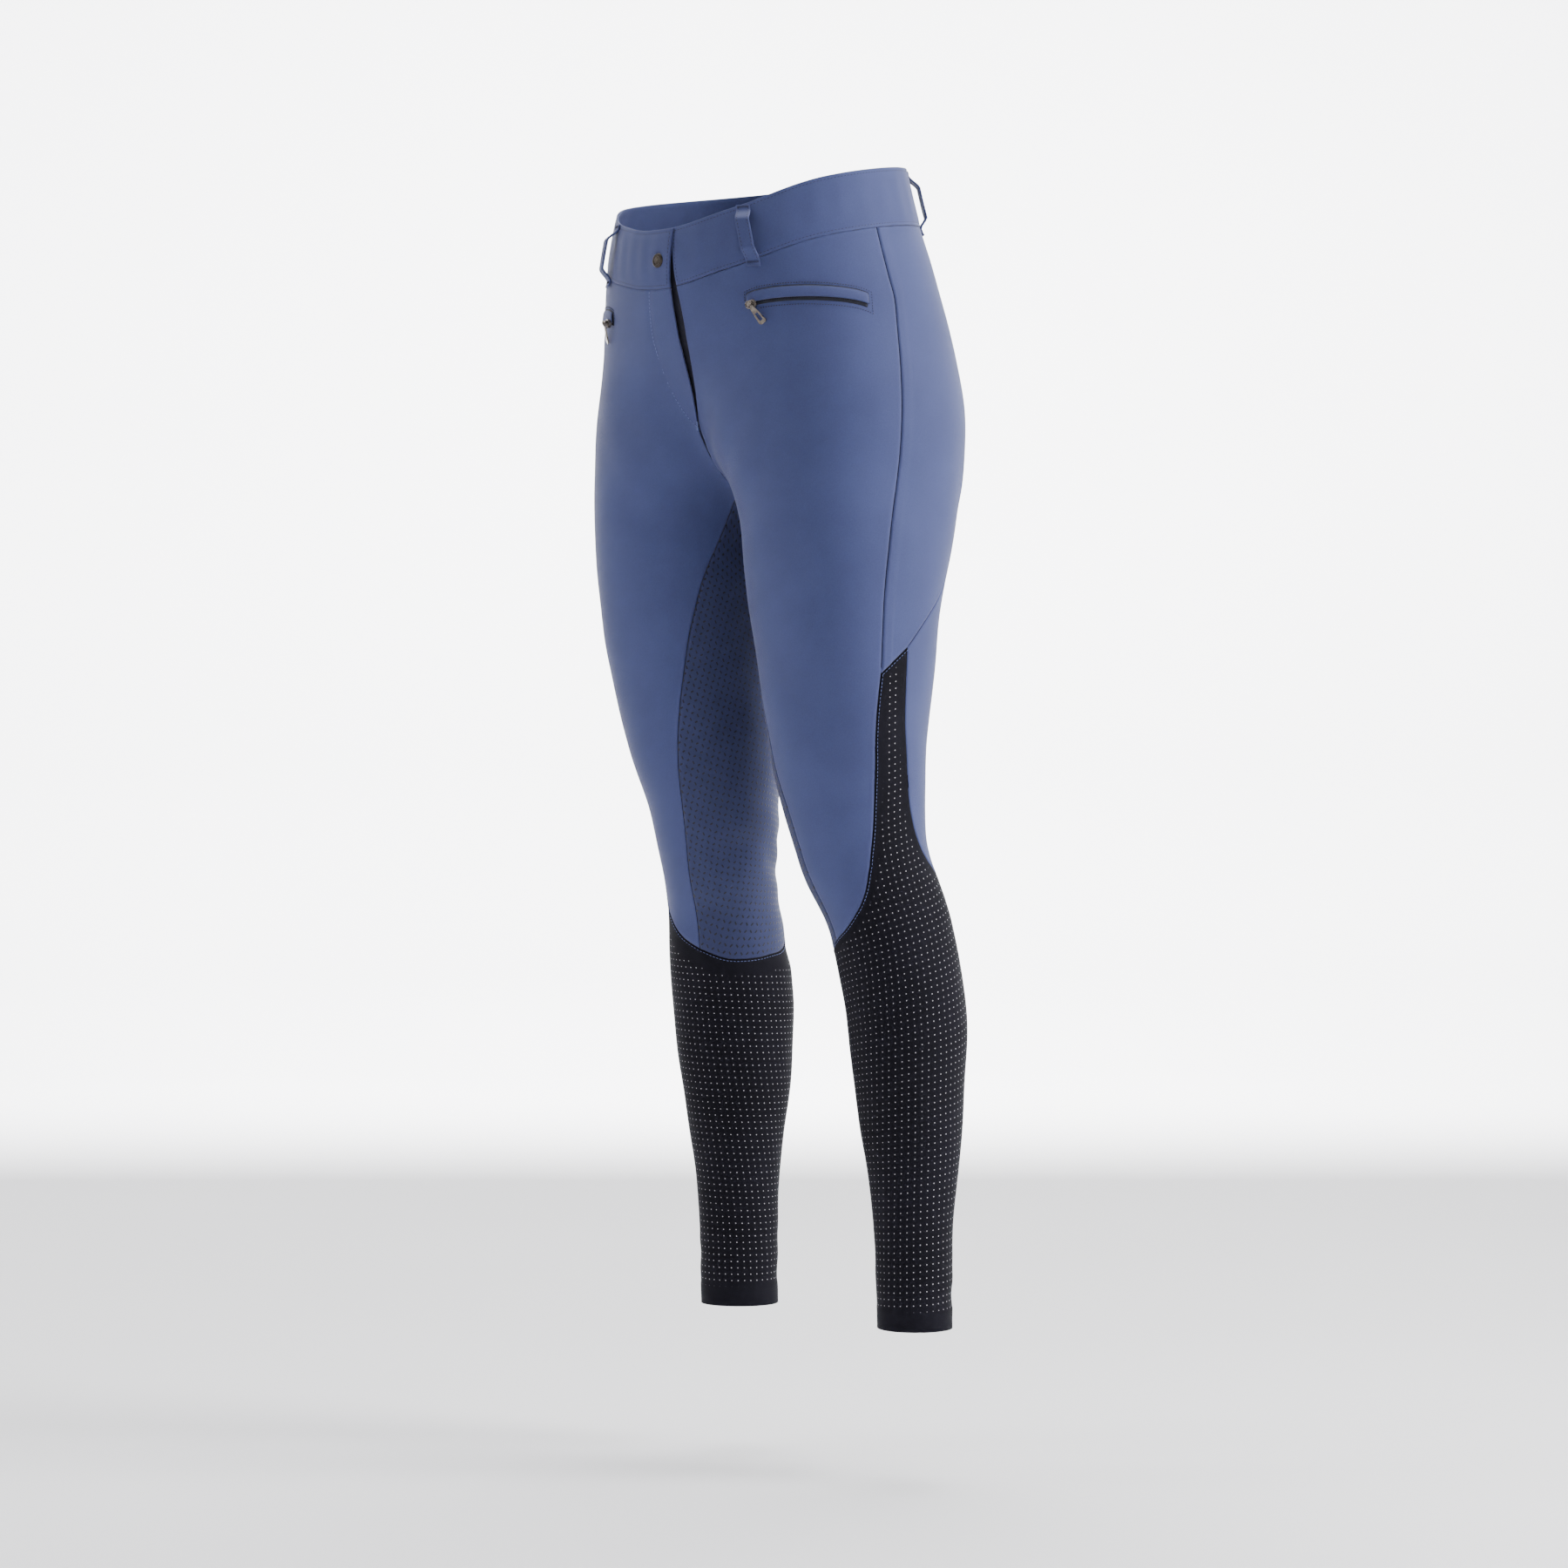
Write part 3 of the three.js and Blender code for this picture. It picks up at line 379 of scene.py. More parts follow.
# Soft creases: on which side, the places that the crease runs through, its half width and its
# height, which is below zero for a trough.
CREASES = [
    ("both", [(-38, -214), (-16, -204), (10, -186)], 13, -0.9),
    ("both", [(-45, -240), (-18, -246), (12, -238)], 15, -0.7),
    ("left", [(-6, -262), (24, -250), (52, -226)], 20, 0.5),
    ("right", [(4, -228), (26, -214), (48, -190)], 17, -0.5),
    ("left", [(8, -120), (20, -140), (40, -152)], 16, -0.5),
    ("right", [(10, -132), (24, -150), (40, -158)], 14, -0.6),
    ("both", [(150, -236), (176, -262), (205, -268), (236, -256)], 15, -1.8),
    ("both", [(128, -262), (150, -286), (182, -298)], 17, -1.0),
    ("both", [(196, -300), (222, -290), (250, -276)], 14, -1.1),
    ("both", [(148, -516), (182, -530), (216, -534), (250, -526)], 9, -2.2),
    ("both", [(166, -540), (198, -552), (236, -556), (268, -548)], 9, -1.9),
    ("both", [(140, -492), (172, -502), (204, -500)], 11, -1.3),
    ("left", [(226, -500), (262, -514), (292, -510)], 12, -1.2),
    ("right", [(236, -548), (268, -536), (300, -540), (322, -556)], 11, -2.0),
    ("right", [(212, -512), (246, -500), (284, -506)], 13, -1.1),
    ("left", [(-4, -520), (14, -534), (36, -532)], 14, -0.7),
    ("right", [(-8, -532), (16, -544), (38, -540)], 14, -0.7),
    ("both", [(150, -600), (190, -618), (240, -626), (286, -622)], 11, -1.3),
    ("both", [(-30, -880), (50, -884), (140, -878)], 7, -0.7),
    ("both", [(40, -902), (140, -898), (250, -904)], 7, -0.8),
    ("both", [(200, -868), (270, -872), (330, -866)], 8, -0.6),
    ("both", [(160, -92), (150, -118), (147, -150)], 12, -0.6),
]


def near(points, line):
    """The distance from points to a line of points, and how far along the line they are nearest."""
    start, run = line[:-1], np.diff(line, axis=0)
    length = np.linalg.norm(run, axis=1)
    reached = np.concatenate([[0], np.cumsum(length)])
    distances, shares = [], []
    for some in np.array_split(points, len(points) // 4000 + 1):
        offset = some[:, None] - start
        part = np.clip((offset * run).sum(-1) / length**2, 0, 1)
        distance = np.linalg.norm(offset - part[..., None] * run, axis=-1)
        best = distance.argmin(1)
        row = np.arange(len(some))
        distances.append(distance[row, best])
        shares.append((reached[best] + part[row, best] * length[best]) / reached[-1])
    return np.concatenate(distances), np.concatenate(shares)


creases = [(side, cloth_points(curve_through(places, 8)), width, height)
           for side, places, width, height in CREASES]
# Long faint waves all over: height, how fast they run along x, y and z, and where they start.
WAVES = [(0.22, 17, 0, 61, 3), (0.16, 23, -41, 97, 0)]


def relief(points, side):
    """How far the cloth stands off the worn shape in its soft creases."""
    x, y, z = (points / 1000).T
    total = sum(height * np.sin(a * x + b * y + c * z + start) for height, a, b, c, start in WAVES)
    for sides, line, width, height in creases:
        if sides not in ("both", side):
            continue
        low, high = line.min(0) - 3 * width, line.max(0) + 3 * width
        close = np.flatnonzero(((points > low) & (points < high)).all(1))
        if len(close):
            distance, share = near(points[close], line)
            fade = np.sin(np.pi * np.clip(share, 0.02, 0.98))**0.7
            lip = 0.35 * np.exp(-((distance - 1.9 * width) / (0.8 * width))**2)
            total[close] += height * fade * (np.exp(-(distance / width)**2) - lip)
    return total


SEAM_SINK = 0.8
SEAM_WIDTH = 0.55
SEAM_ROLL = 0.14


def sewn_edge(distance):
    """The cloth dips into a seam and rolls up a little beside it."""
    roll = SEAM_ROLL * np.exp(-((distance - 2.6) / 1.3)**2)
    return roll - SEAM_SINK * np.exp(-(distance / SEAM_WIDTH)**2)


def lines_of(steps, detail):
    """Positions of a panel's grid lines, in the seams' steps, with closer ones at both edges."""
    close = np.array([0.015, 0.04, 0.09])
    return np.sort(np.concatenate([np.arange(steps * detail + 1) / detail, close, steps - close]))


def edge_places(parts, positions):
    """Places along joined seams, each of which takes its own number of steps."""
    places = np.empty((len(positions), 2))
    start = 0
    for seam, steps in parts:
        here = (positions >= start - 1e-9) & (positions <= start + steps + 1e-9)
        places[here] = along(seam, (positions[here] - start) / steps)
        start += steps
    return places


def panel_places(top, bottom, start, end, across, down):
    """Places of a panel between four edges of seams, worked out on angles and levels."""
    t, b = edge_places(top, across), edge_places(bottom, across)
    s, e = edge_places(start, down)[:, None], edge_places(end, down)[:, None]
    u, v = (across / across[-1])[None, :, None], (down / down[-1])[:, None, None]
    return ((1 - v) * t + v * b + (1 - u) * s + u * e - (1 - u) * (1 - v) * t[0]
            - u * (1 - v) * t[-1] - (1 - u) * v * b[0] - u * v * b[-1])


def flat_sizes(points):
    """Each grid point's place on the flat cut: across from the middle column, and down it."""
    middle = points.shape[1] // 2
    across = np.cumsum(np.linalg.norm(np.diff(points, axis=1, prepend=points[:, :1]), axis=2), axis=1)
    down = np.cumsum(np.linalg.norm(np.diff(points[:, middle], axis=0, prepend=points[:1, middle]), axis=1))
    across = across - across[:, middle:middle + 1]
    return np.stack([across, np.broadcast_to(-down[:, None], across.shape)], -1)


def linked(name, shape):
    """Makes a smooth object of a built mesh and puts it into the scene."""
    for face in shape.faces:
        face.smooth = True
    mesh = bpy.data.meshes.new(name)
    shape.to_mesh(mesh)
    shape.free()
    made = bpy.data.objects.new(name, mesh)
    bpy.context.collection.objects.link(made)
    return made


def cloth_piece(name, side, points, flat, thickness, attributes=(), round_edges=0.0, tube=False):
    """A sheet of cloth from a grid of points, with its flat cut as its UV map, in millimetres."""
    rows, columns = points.shape[:2]
    grid = bmesh.new()
    bmesh.ops.create_grid(grid, x_segments=columns - 1, y_segments=rows - 1, size=1)
    mirrored = np.array([-1 if side == "right" else 1, 1, 1])
    for vertex, place in zip(grid.verts, (points * mirrored / 1000).reshape(-1, 3)):
        vertex.co = place
    flat_cut = grid.loops.layers.uv.new("cloth")
    flat_list = flat.reshape(-1, 2)
    for face in grid.faces:
        for loop in face.loops:
            loop[flat_cut].uv = flat_list[loop.vert.index]
    for title, values in dict(attributes).items():
        layer = grid.verts.layers.float.new(title)
        for vertex, value in zip(grid.verts, values.ravel()):
            vertex[layer] = value
    if side != "right":
        bmesh.ops.reverse_faces(grid, faces=grid.faces[:])
    if tube:
        bmesh.ops.remove_doubles(grid, verts=grid.verts[:], dist=1e-6)
    piece = linked(name, grid)
    wall = piece.modifiers.new("wall", "SOLIDIFY")
    wall.thickness, wall.offset = thickness / 1000, -1
    if round_edges:
        bevel = piece.modifiers.new("edges", "BEVEL")
        bevel.width, bevel.segments, bevel.limit_method = round_edges / 1000, 2, "ANGLE"
        bevel.angle_limit = math.radians(50)
    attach(piece, "garment")
    return piece


def shaped(places_grid, side, lines, extra=None):
    """The points of a panel with its creases and sewn edges, its flat cut and its seam margins."""
    shape = places_grid.shape[:2]
    flat_points = cloth_points(places_grid.reshape(-1, 2))
    normals = cloth_normals(flat_points)
    margin = np.min([near(flat_points, line["points"][::4])[0] for line in lines], axis=0)
    lift = relief(flat_points, side) + sewn_edge(margin)
    if extra is not None:
        lift = lift + extra(flat_points)
    points = (flat_points + normals * lift[:, None]).reshape(*shape, 3)
    return points, flat_sizes(flat_points.reshape(*shape, 3)), margin


class Shade:
    """A material's socket, so that shader maths is written as an expression."""

    def __init__(self, tree, socket=None):
        self.tree, self.socket = tree, socket

    def node(self, kind, settings=(), inputs=(), output=0):
        """Another node: its settings, then its sockets' values or links, then which output is used."""
        made = self.tree.nodes.new(kind)
        for name, value in dict(settings).items():
            setattr(made, name, value)
        for name, value in dict(inputs).items():
            if isinstance(value, Shade):
                self.tree.links.new(value.socket, made.inputs[name])
            else:
                made.inputs[name].default_value = value
        return Shade(self.tree, made.outputs[output])

    def maths(self, operation, *others):
        values = dict(enumerate((self, *others)))
        return self.node("ShaderNodeMath", {"operation": operation}, values)

    def __add__(self, other):
        return self.maths("ADD", other)

    def __sub__(self, other):
        return self.maths("SUBTRACT", other)

    def __rsub__(self, other):
        return self.node("ShaderNodeMath", {"operation": "SUBTRACT"}, {0: other, 1: self})

    def __mul__(self, other):
        return self.maths("MULTIPLY", other)

    def __truediv__(self, other):
        return self.maths("DIVIDE", other)

    __radd__, __rmul__ = __add__, __mul__

    def ramp(self, low, high):
        """0 below low and 1 above high, smoothly."""
        settings = {"interpolation_type": "SMOOTHSTEP"}
        return self.node("ShaderNodeMapRange", settings, {0: self, 1: low, 2: high, 3: 0.0, 4: 1.0})


def colour(red, green, blue):
    """A colour that was read as 0 to 255, in the shader's linear values."""
    return (*(((c / 255 + 0.055) / 1.055)**2.4 for c in (red, green, blue)), 1.0)


def mixed(factor, first, second):
    return factor.node("ShaderNodeMix", {"data_type": "RGBA"}, {0: factor, 6: first, 7: second}, 2)


def surface(name, **constants):
    """A new material: its expressions' start, and a call that feeds sockets of its surface."""
    made = bpy.data.materials.new(name)
    made.use_nodes = True
    shader = made.node_tree.nodes["Principled BSDF"]
    for socket, value in constants.items():
        shader.inputs[socket.replace("_", " ")].default_value = value

    def feed(socket, value):
        made.node_tree.links.new(value.socket, shader.inputs[socket])

    return made, Shade(made.node_tree), feed


def raised(height, strength, depth):
    """A normal from a height, whose full range is a depth in millimetres."""
    sizes = {"Strength": strength, "Distance": depth / 1000, "Height": height}
    return height.node("ShaderNodeBump", {}, sizes)


def flat_cut_of(start):
    """Millimetres across and down the flat cut."""
    uv = start.node("ShaderNodeUVMap", {"uv_map": "cloth"})
    parts = uv.node("ShaderNodeSeparateXYZ", {}, {0: uv})
    return parts, Shade(parts.tree, parts.socket.node.outputs[1])


def grain_of(start, size, detail=2.0):
    """Even noise in the cloth, with grains of a size in millimetres."""
    where = start.node("ShaderNodeTexCoord", output=3)
    return start.node("ShaderNodeTexNoise", {}, {"Vector": where, "Scale": 1000 / size, "Detail": detail})


TWILL_COLOURS = colour(52, 58, 95), colour(65, 73, 115)
SEAM_SHADOW_COLOUR = colour(8, 9, 20)
# How far from a seam its painted shadow line, the shade of the seam's groove, begins and ends to fade.
SEAM_SHADOW_LINE = 0.15, 0.6


def twill_parts(start):
    """A twill's flat cut, ribs, grain, and tone with a paler painted highlight beside a seam, how pressed
    the cloth is there, and the seam's painted shadow line.
    """
    across, down = flat_cut_of(start)
    ribs = ((across + down * 1.6) * (2 * math.pi / 0.9)).maths("SINE")
    grain, cloud = grain_of(start, 0.9, 3.0), grain_of(start, 70)
    margin = start.node("ShaderNodeAttribute", {"attribute_name": "margin"}, output=2)
    # Pressed cloth beside a seam: smoother, and painted paler as a highlight of its rolled edge.
    pressed_and_painted_highlight = 1 - margin.ramp(0.8, 4.5)
    # Painted shade: a near black line in each seam's groove.
    seam = (1 - margin.ramp(*SEAM_SHADOW_LINE)) * 0.9
    tone = (grain * 0.5 + cloud * 0.6 + ribs * 0.04 - 0.05 + pressed_and_painted_highlight * 0.08).ramp(0.0, 1.0)
    return across, down, ribs, grain, tone, pressed_and_painted_highlight, seam


def plain_twill():
    """Stretch twill: fine slanting ribs, a slight melange, a paler painted highlight on the pressed cloth
    beside its seams, and a painted shadow line in them.
    """
    made, start, feed = surface("blue_twill", Sheen_Weight=0.12, Sheen_Roughness=0.4,
                                Specular_IOR_Level=0.2)
    across, down, ribs, grain, tone, pressed_and_painted_highlight, seam = twill_parts(start)
    threads = ((across - down * 0.6) * (2 * math.pi / 0.45)).maths("SINE")
    feed("Base Color", mixed(seam, mixed(tone, *TWILL_COLOURS), SEAM_SHADOW_COLOUR))
    feed("Roughness", 0.7 + grain * 0.12 - pressed_and_painted_highlight * 0.06)
    feed("Normal", raised(ribs * 0.5 + threads * 0.25 + grain * 1.2, 0.3, 0.12))
    return made


blue_twill = plain_twill()

TWILL_CLOTH = 1.3
FLY_STAND = {"left": -0.6, "right": 0.9}
FLY_STAND_ZONE = (2, 34)
POCKET_FROM, POCKET_TO = 40, 79
POCKET_ZIP, POCKET_ARCH, POCKET_DROOP = -96.5, 3, 2.5
POCKET_SINK, POCKET_SINK_ZONE = 0.5, (3, 14)


def pocket_points(share, above):
    """Points along a pocket, a share of its way from the middle of the front, and above its zip."""
    share = np.asarray(share, float)
    height = POCKET_ZIP + POCKET_ARCH * np.sin(np.pi * share) - POCKET_DROOP * (2 * share - 1)**6
    return waist_points(POCKET_FROM + (POCKET_TO - POCKET_FROM) * share, height + above)


pocket_line = pocket_points(np.linspace(0, 1, 40), 0)


def pocket_sink(points):
    """How far the front is pressed in round its pocket."""
    return POCKET_SINK * (1 - smoothstep(near(points, pocket_line)[0], *POCKET_SINK_ZONE))


# The stitching that holds the fly's facing to the right front: height, distance to the right.
FACING_ROW = [
    (-79, 15), (-100, 18), (-124, 19.5), (-145, 18.8), (-160, 16), (-172, 11.5), (-181, 6.5), (-188, 0.8),
]
FACING_SINK = 0.6
facing_heights = np.linspace(FACING_ROW[0][0], FACING_ROW[-1][0], 60)
facing_line = front_points(smooth_table(FACING_ROW)(facing_heights)[:, 0], facing_heights)


def front_extra(side):
    """The right front stands over the left one at the fly, and is pressed in along the facing's row."""
    def lift(points):
        from_edge = near(points, seams[side]["fly"]["points"])[0]
        height = FLY_STAND[side] * (1 - smoothstep(from_edge, *FLY_STAND_ZONE))
        if side == "right":
            height -= FACING_SINK * np.exp(-(near(points, facing_line)[0] / 1.4)**2)
        return height - pocket_sink(points)
    return lift


for side in ("left", "right"):
    lines = seams[side]
    places = panel_places(
        [(lines["front_top"], 8)], [(turned_back(lines["knee_front"]), 8)],
        [(lines["fly"], 4), (lines["front_rise"], 3), (lines["inner_seam"], 17)],
        [(lines["side_seam"], 16), (lines["wedge_front"], 8)], lines_of(8, 8), lines_of(24, 8))
    edges = [lines[n] for n in ("front_top", "knee_front", "front_rise", "inner_seam", "side_seam",
                                "wedge_front")]
    points, flat, margin = shaped(places, side, edges, front_extra(side))
    front = cloth_piece(f"front_panel_{side}", side, points, flat, TWILL_CLOTH, {"margin": margin})
    front.data.materials.append(blue_twill)
    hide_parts(f"front_{side}")

# Side panels: the same twill, between the side-front seam and the seam that curves over the hip.
# The side-front seam's allowance is pressed towards the back and shows as a low step beside it.
ALLOWANCE = 9.0
ALLOWANCE_STEP = 0.45
for side in ("left", "right"):
    lines = seams[side]
    places = panel_places(
        [(lines["side_top"], 6)], [(lines["wedge_top"], 6)], [(lines["side_seam"], 16)],
        [(lines["back_seam"], 16)], lines_of(6, 7), lines_of(16, 8))

    def pressed_step(points, line=lines["side_seam"]["points"][::4]):
        distance = near(points, line)[0]
        beyond = smoothstep(distance, ALLOWANCE - 1.2, ALLOWANCE + 1.2)
        return ALLOWANCE_STEP * smoothstep(distance, 0.5, 2) * (1 - beyond)

    edges = [lines[n] for n in ("side_top", "wedge_top", "side_seam", "back_seam")]
    points, flat, margin = shaped(places, side, edges, pressed_step)
    hip = cloth_piece(f"side_panel_{side}", side, points, flat, TWILL_CLOTH, {"margin": margin})
    hip.data.materials.append(blue_twill)
    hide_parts(f"side_{side}")

# Seat panels: twill again, cut in one from the seat down the inner leg, with a silicone grip
# printed on it in short slanting dashes. The print keeps clear of the outer back.
GRIP_PITCH = 5.0
GRIP_DASH = (2.5, 1.15)
# How far from the outer seams the print begins, and where it is full.
GRIP_ZONE = (38, 62)


def grip_twill():
    made, start, feed = surface("grip_twill", Sheen_Weight=0.08, Specular_IOR_Level=0.2,
                                Coat_Roughness=0.3)
    across, down, ribs, grain, tone, _, seam = twill_parts(start)
    column = (across / GRIP_PITCH).maths("FLOOR")
    row = (down / GRIP_PITCH).maths("FLOOR")
    x = across - (column + 0.5) * GRIP_PITCH
    y = down - (row + 0.5) * GRIP_PITCH
    lean = (column + row).maths("FLOORED_MODULO", 2.0) * 2 - 1
    lengthways = (x + y * lean).maths("ABSOLUTE") * math.sqrt(0.5)
    crossways = (x - y * lean).maths("ABSOLUTE") * math.sqrt(0.5)
    dash = ((1 - lengthways.ramp(GRIP_DASH[0] / 2 - 0.15, GRIP_DASH[0] / 2 + 0.15))
            * (1 - crossways.ramp(GRIP_DASH[1] / 2 - 0.15, GRIP_DASH[1] / 2 + 0.15)))
    zone = start.node("ShaderNodeAttribute", {"attribute_name": "grip"}, output=2).ramp(0.0, 1.0)
    printed = dash * zone
    coated = mixed(tone, colour(38, 43, 74), colour(50, 56, 91))
    cloth = mixed(printed, mixed(zone, mixed(tone, *TWILL_COLOURS), coated), colour(12, 13, 28))
    # The seam's painted shadow line, as on the plain twill.
    feed("Base Color", mixed(seam, cloth, SEAM_SHADOW_COLOUR))
    feed("Roughness", 0.7 + grain * 0.12 - printed * 0.3)
    feed("Coat Weight", printed * 0.12)
    feed("Normal", raised(ribs * 0.5 + grain * 1.2 + printed * 3.0, 0.5, 0.12))
    return made


grip = grip_twill()
for side in ("left", "right"):
    lines = seams[side]
    inner = dict(lines["inner_seam"])
    inner["places"] = inner["places"] + np.array([360, 0])
    places = panel_places(
        [(lines["seat_top"], 12)], [(lines["knee_back"], 12)],
        [(lines["back_seam"], 16), (lines["wedge_back"], 14)],
        [(lines["back_rise"], 13), (inner, 17)], lines_of(12, 7), lines_of(30, 7))
    edges = [lines[n] for n in ("seat_top", "knee_back", "back_seam", "wedge_back", "back_rise",
                                "inner_seam")]
    points, flat, margin = shaped(places, side, edges)
    outer = np.vstack([lines["back_seam"]["points"][::4], lines["wedge_back"]["points"][::4]])
    away = near(cloth_points(places.reshape(-1, 2)), outer)[0]
    printed_zone = smoothstep(away, *GRIP_ZONE)
    seat = cloth_piece(f"seat_panel_{side}", side, points, flat, TWILL_CLOTH,
                       {"margin": margin, "grip": printed_zone})
    seat.data.materials.append(grip)
    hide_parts(f"seat_{side}")

# Mesh legs: fine black knit with rows of pin dots, cut in one with the wedge that tapers up the
# outside of the thigh. The tube closes with a seam at the inner back and ends in a turned hem.
HEM_HEIGHT = -927
HEM_FOLD = 18
HEM_STEP, HEM_STEP_HALF_WIDTH = 0.35, 0.8
KNEE_LEVEL = -645
MESH_CLOTH = 1.0
CLOSING_SEAM = [(225, -640), (224, -760), (220, -926)]
# Points of the upper edge, in its steps, and the angles that they run down to.
KNEE_RING = [(0, -20), (8, 51), (16, 72), (22, 86), (36, 150), (48, 340)]
# The dots' middle column (level, angle) and how steeply their rows climb to the outside.
DOT_PITCH = 5.5
DOT_SIZE = 0.9
DOT_MIDDLE = {"left": [(-371, 77), (-480, 80), (-560, 74), (-660, 62), (-930, 58)],
              "right": [(-371, 77), (-480, 66), (-640, 12), (-930, 8)]}
DOT_CLIMB = {"left": [(-371, 0.3), (-600, 0.28), (-760, 0.13), (-930, 0.04)],
             "right": [(-371, 0.2), (-600, 0.04), (-930, 0.0)]}
DOT_START = {"left": 7, "right": 15}
# The angle round each leg at which its dots are painted brightest, as if lit: on both legs, towards the
# camera's side.
DOT_PAINTED_LIGHT_TURN = {"left": 85, "right": -60}


def mesh_knit():
    made, start, feed = surface("mesh_knit", Specular_IOR_Level=0.08)
    across, down = flat_cut_of(start)
    x = across - ((across / DOT_PITCH).maths("FLOOR") + 0.5) * DOT_PITCH
    y = down - ((down / DOT_PITCH).maths("FLOOR") + 0.5) * DOT_PITCH
    distance = (x * x + y * y).maths("SQRT")
    margin = start.node("ShaderNodeAttribute", {"attribute_name": "margin"}, output=2)
    strength = start.node("ShaderNodeAttribute", {"attribute_name": "dots"}, output=2)
    dot = (1 - distance.ramp(DOT_SIZE / 2 - 0.12, DOT_SIZE / 2 + 0.12)) * strength
    grain, cloud = grain_of(start, 0.8, 3.0), grain_of(start, 60)
    wales = (across * (2 * math.pi / 0.9)).maths("SINE")
    courses = (down * (2 * math.pi / 0.7)).maths("SINE")
    tone = (grain * 0.6 + cloud * 0.5).ramp(0.1, 1.0)
    knit = mixed(tone, colour(9, 9, 14), colour(22, 21, 30))
    # Painted shade: the knit is painted near black in its seams' grooves.
    seam = 1 - margin.ramp(0.15, 0.75)
    knit = mixed(seam * 0.8, knit, colour(3, 3, 6))
    feed("Base Color", mixed(dot, knit, colour(168, 166, 172)))
    feed("Roughness", 0.66 + grain * 0.2)
    feed("Normal", raised(wales * courses * 0.8 + grain * 1.0, 0.4, 0.12))
    return made


def round_leg(places, middle_rows):
    """How far round the leg places lie from the dots' middle column, up to the closing seam."""
    levels, angles = np.arange(-930, -364, 6.0), np.arange(-24, 345, 4.0)
    grid = np.stack(np.meshgrid(angles, levels), -1)
    points = cloth_points(grid.reshape(-1, 2)).reshape(*grid.shape[:2], 3)
    run = np.cumsum(np.linalg.norm(np.diff(points, axis=1, prepend=points[:, :1]), axis=2), axis=1)
    middle = straight_table(middle_rows)(levels)[:, 0]
    run -= np.array([np.interp(at, angles, row) for at, row in zip(middle, run)])[:, None]

    def run_at(angle, level):
        column, row = (angle - angles[0]) / 4, (level - levels[0]) / 6
        i, j = np.clip(row.astype(int), 0, len(levels) - 2), np.clip(column.astype(int), 0, len(angles) - 2)
        row, column = row - i, column - j
        return ((1 - row) * ((1 - column) * run[i, j] + column * run[i, j + 1])
                + row * ((1 - column) * run[i + 1, j] + column * run[i + 1, j + 1]))

    angle, level = places[..., 0], places[..., 1]
    girth = run_at(0 * angle + 340, level) - run_at(0 * angle - 20, level)
    closing = straight_table([(row[1], row[0]) for row in CLOSING_SEAM])(level.ravel()).reshape(level.shape)
    return run_at(angle, level) - np.where(angle > closing, girth, 0)


def knee_angles(steps):
    return np.interp(steps, *np.array(KNEE_RING, float).T)


knit = mesh_knit()
closing_line = cloth_points(curve_through(CLOSING_SEAM))
for side in ("left", "right"):
    lines = seams[side]
    around = np.arange(48 * 5 + 1) / 5
    ring = edge_places([
        (turned_back(lines["knee_front"]), 8), (turned_back(lines["wedge_front"]), 8),
        (lines["wedge_top"], 6), (lines["wedge_back"], 14), (lines["knee_back"], 12)], around)
    downward = np.concatenate([[0, 0.008, 0.02], np.linspace(0, 1, 31)[1:]])[:, None]
    upper = [ring[:, 0] * (1 - downward) + knee_angles(around) * downward,
             ring[:, 1] * (1 - downward) + KNEE_LEVEL * downward]
    lower_rows = np.concatenate([np.arange(KNEE_LEVEL - 3.2, HEM_HEIGHT + 1, -3.2), [HEM_HEIGHT]])[:, None]
    settle = smoothstep(-lower_rows, -KNEE_LEVEL, 800)
    lower = [knee_angles(around) * (1 - settle) + np.linspace(-20, 340, len(around)) * settle,
             lower_rows + 0 * around]
    places = np.stack([np.vstack(pair) for pair in zip(upper, lower)], -1)

    def hem_fold(points):
        below_fold = HEM_HEIGHT + HEM_FOLD - points[:, 2]
        return HEM_STEP * smoothstep(below_fold, -HEM_STEP_HALF_WIDTH, HEM_STEP_HALF_WIDTH)

    ring_line, smooth_leg = cloth_points(ring), cloth_points(places.reshape(-1, 2))
    points, _, margin = shaped(places, side, [{"points": ring_line}, {"points": closing_line}], hem_fold)
    from_knee = near(smooth_leg, ring_line)[0].reshape(places.shape[:2])
    from_closing = near(smooth_leg, closing_line)[0].reshape(places.shape[:2])
    across = round_leg(places, DOT_MIDDLE[side])
    climb = straight_table(DOT_CLIMB[side])(places[..., 1].ravel()).reshape(across.shape)
    flat = np.stack([across, points[..., 2] - climb * across], -1)
    dots = smoothstep(from_knee, DOT_START[side], DOT_START[side] + 1)
    dots = dots * smoothstep(places[..., 1], HEM_HEIGHT + HEM_FOLD, HEM_HEIGHT + HEM_FOLD + 1)
    dots = dots * smoothstep(from_closing, 3, 4)
    # Painted light: the dots are painted up to 30% dimmer away from that lit side.
    dots = dots * (0.85 + 0.15 * np.cos(np.radians(places[..., 0] - DOT_PAINTED_LIGHT_TURN[side])))
    leg = cloth_piece(f"mesh_leg_{side}", side, points, flat, MESH_CLOTH,
                      {"margin": margin, "dots": dots}, tube=True)
    leg.data.materials.append(knit)
    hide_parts(f"mesh_{side}")

# Waistband: two halves of firm double twill, joined at the centre back, its top edge folded and
# both edges pressed. The right half's tab passes over the left one at the fly.
BAND_PROUD = 0.5
BAND_CLOTH = 2.2
BAND_PUFF, BAND_RIPPLE = 0.5, 0.18
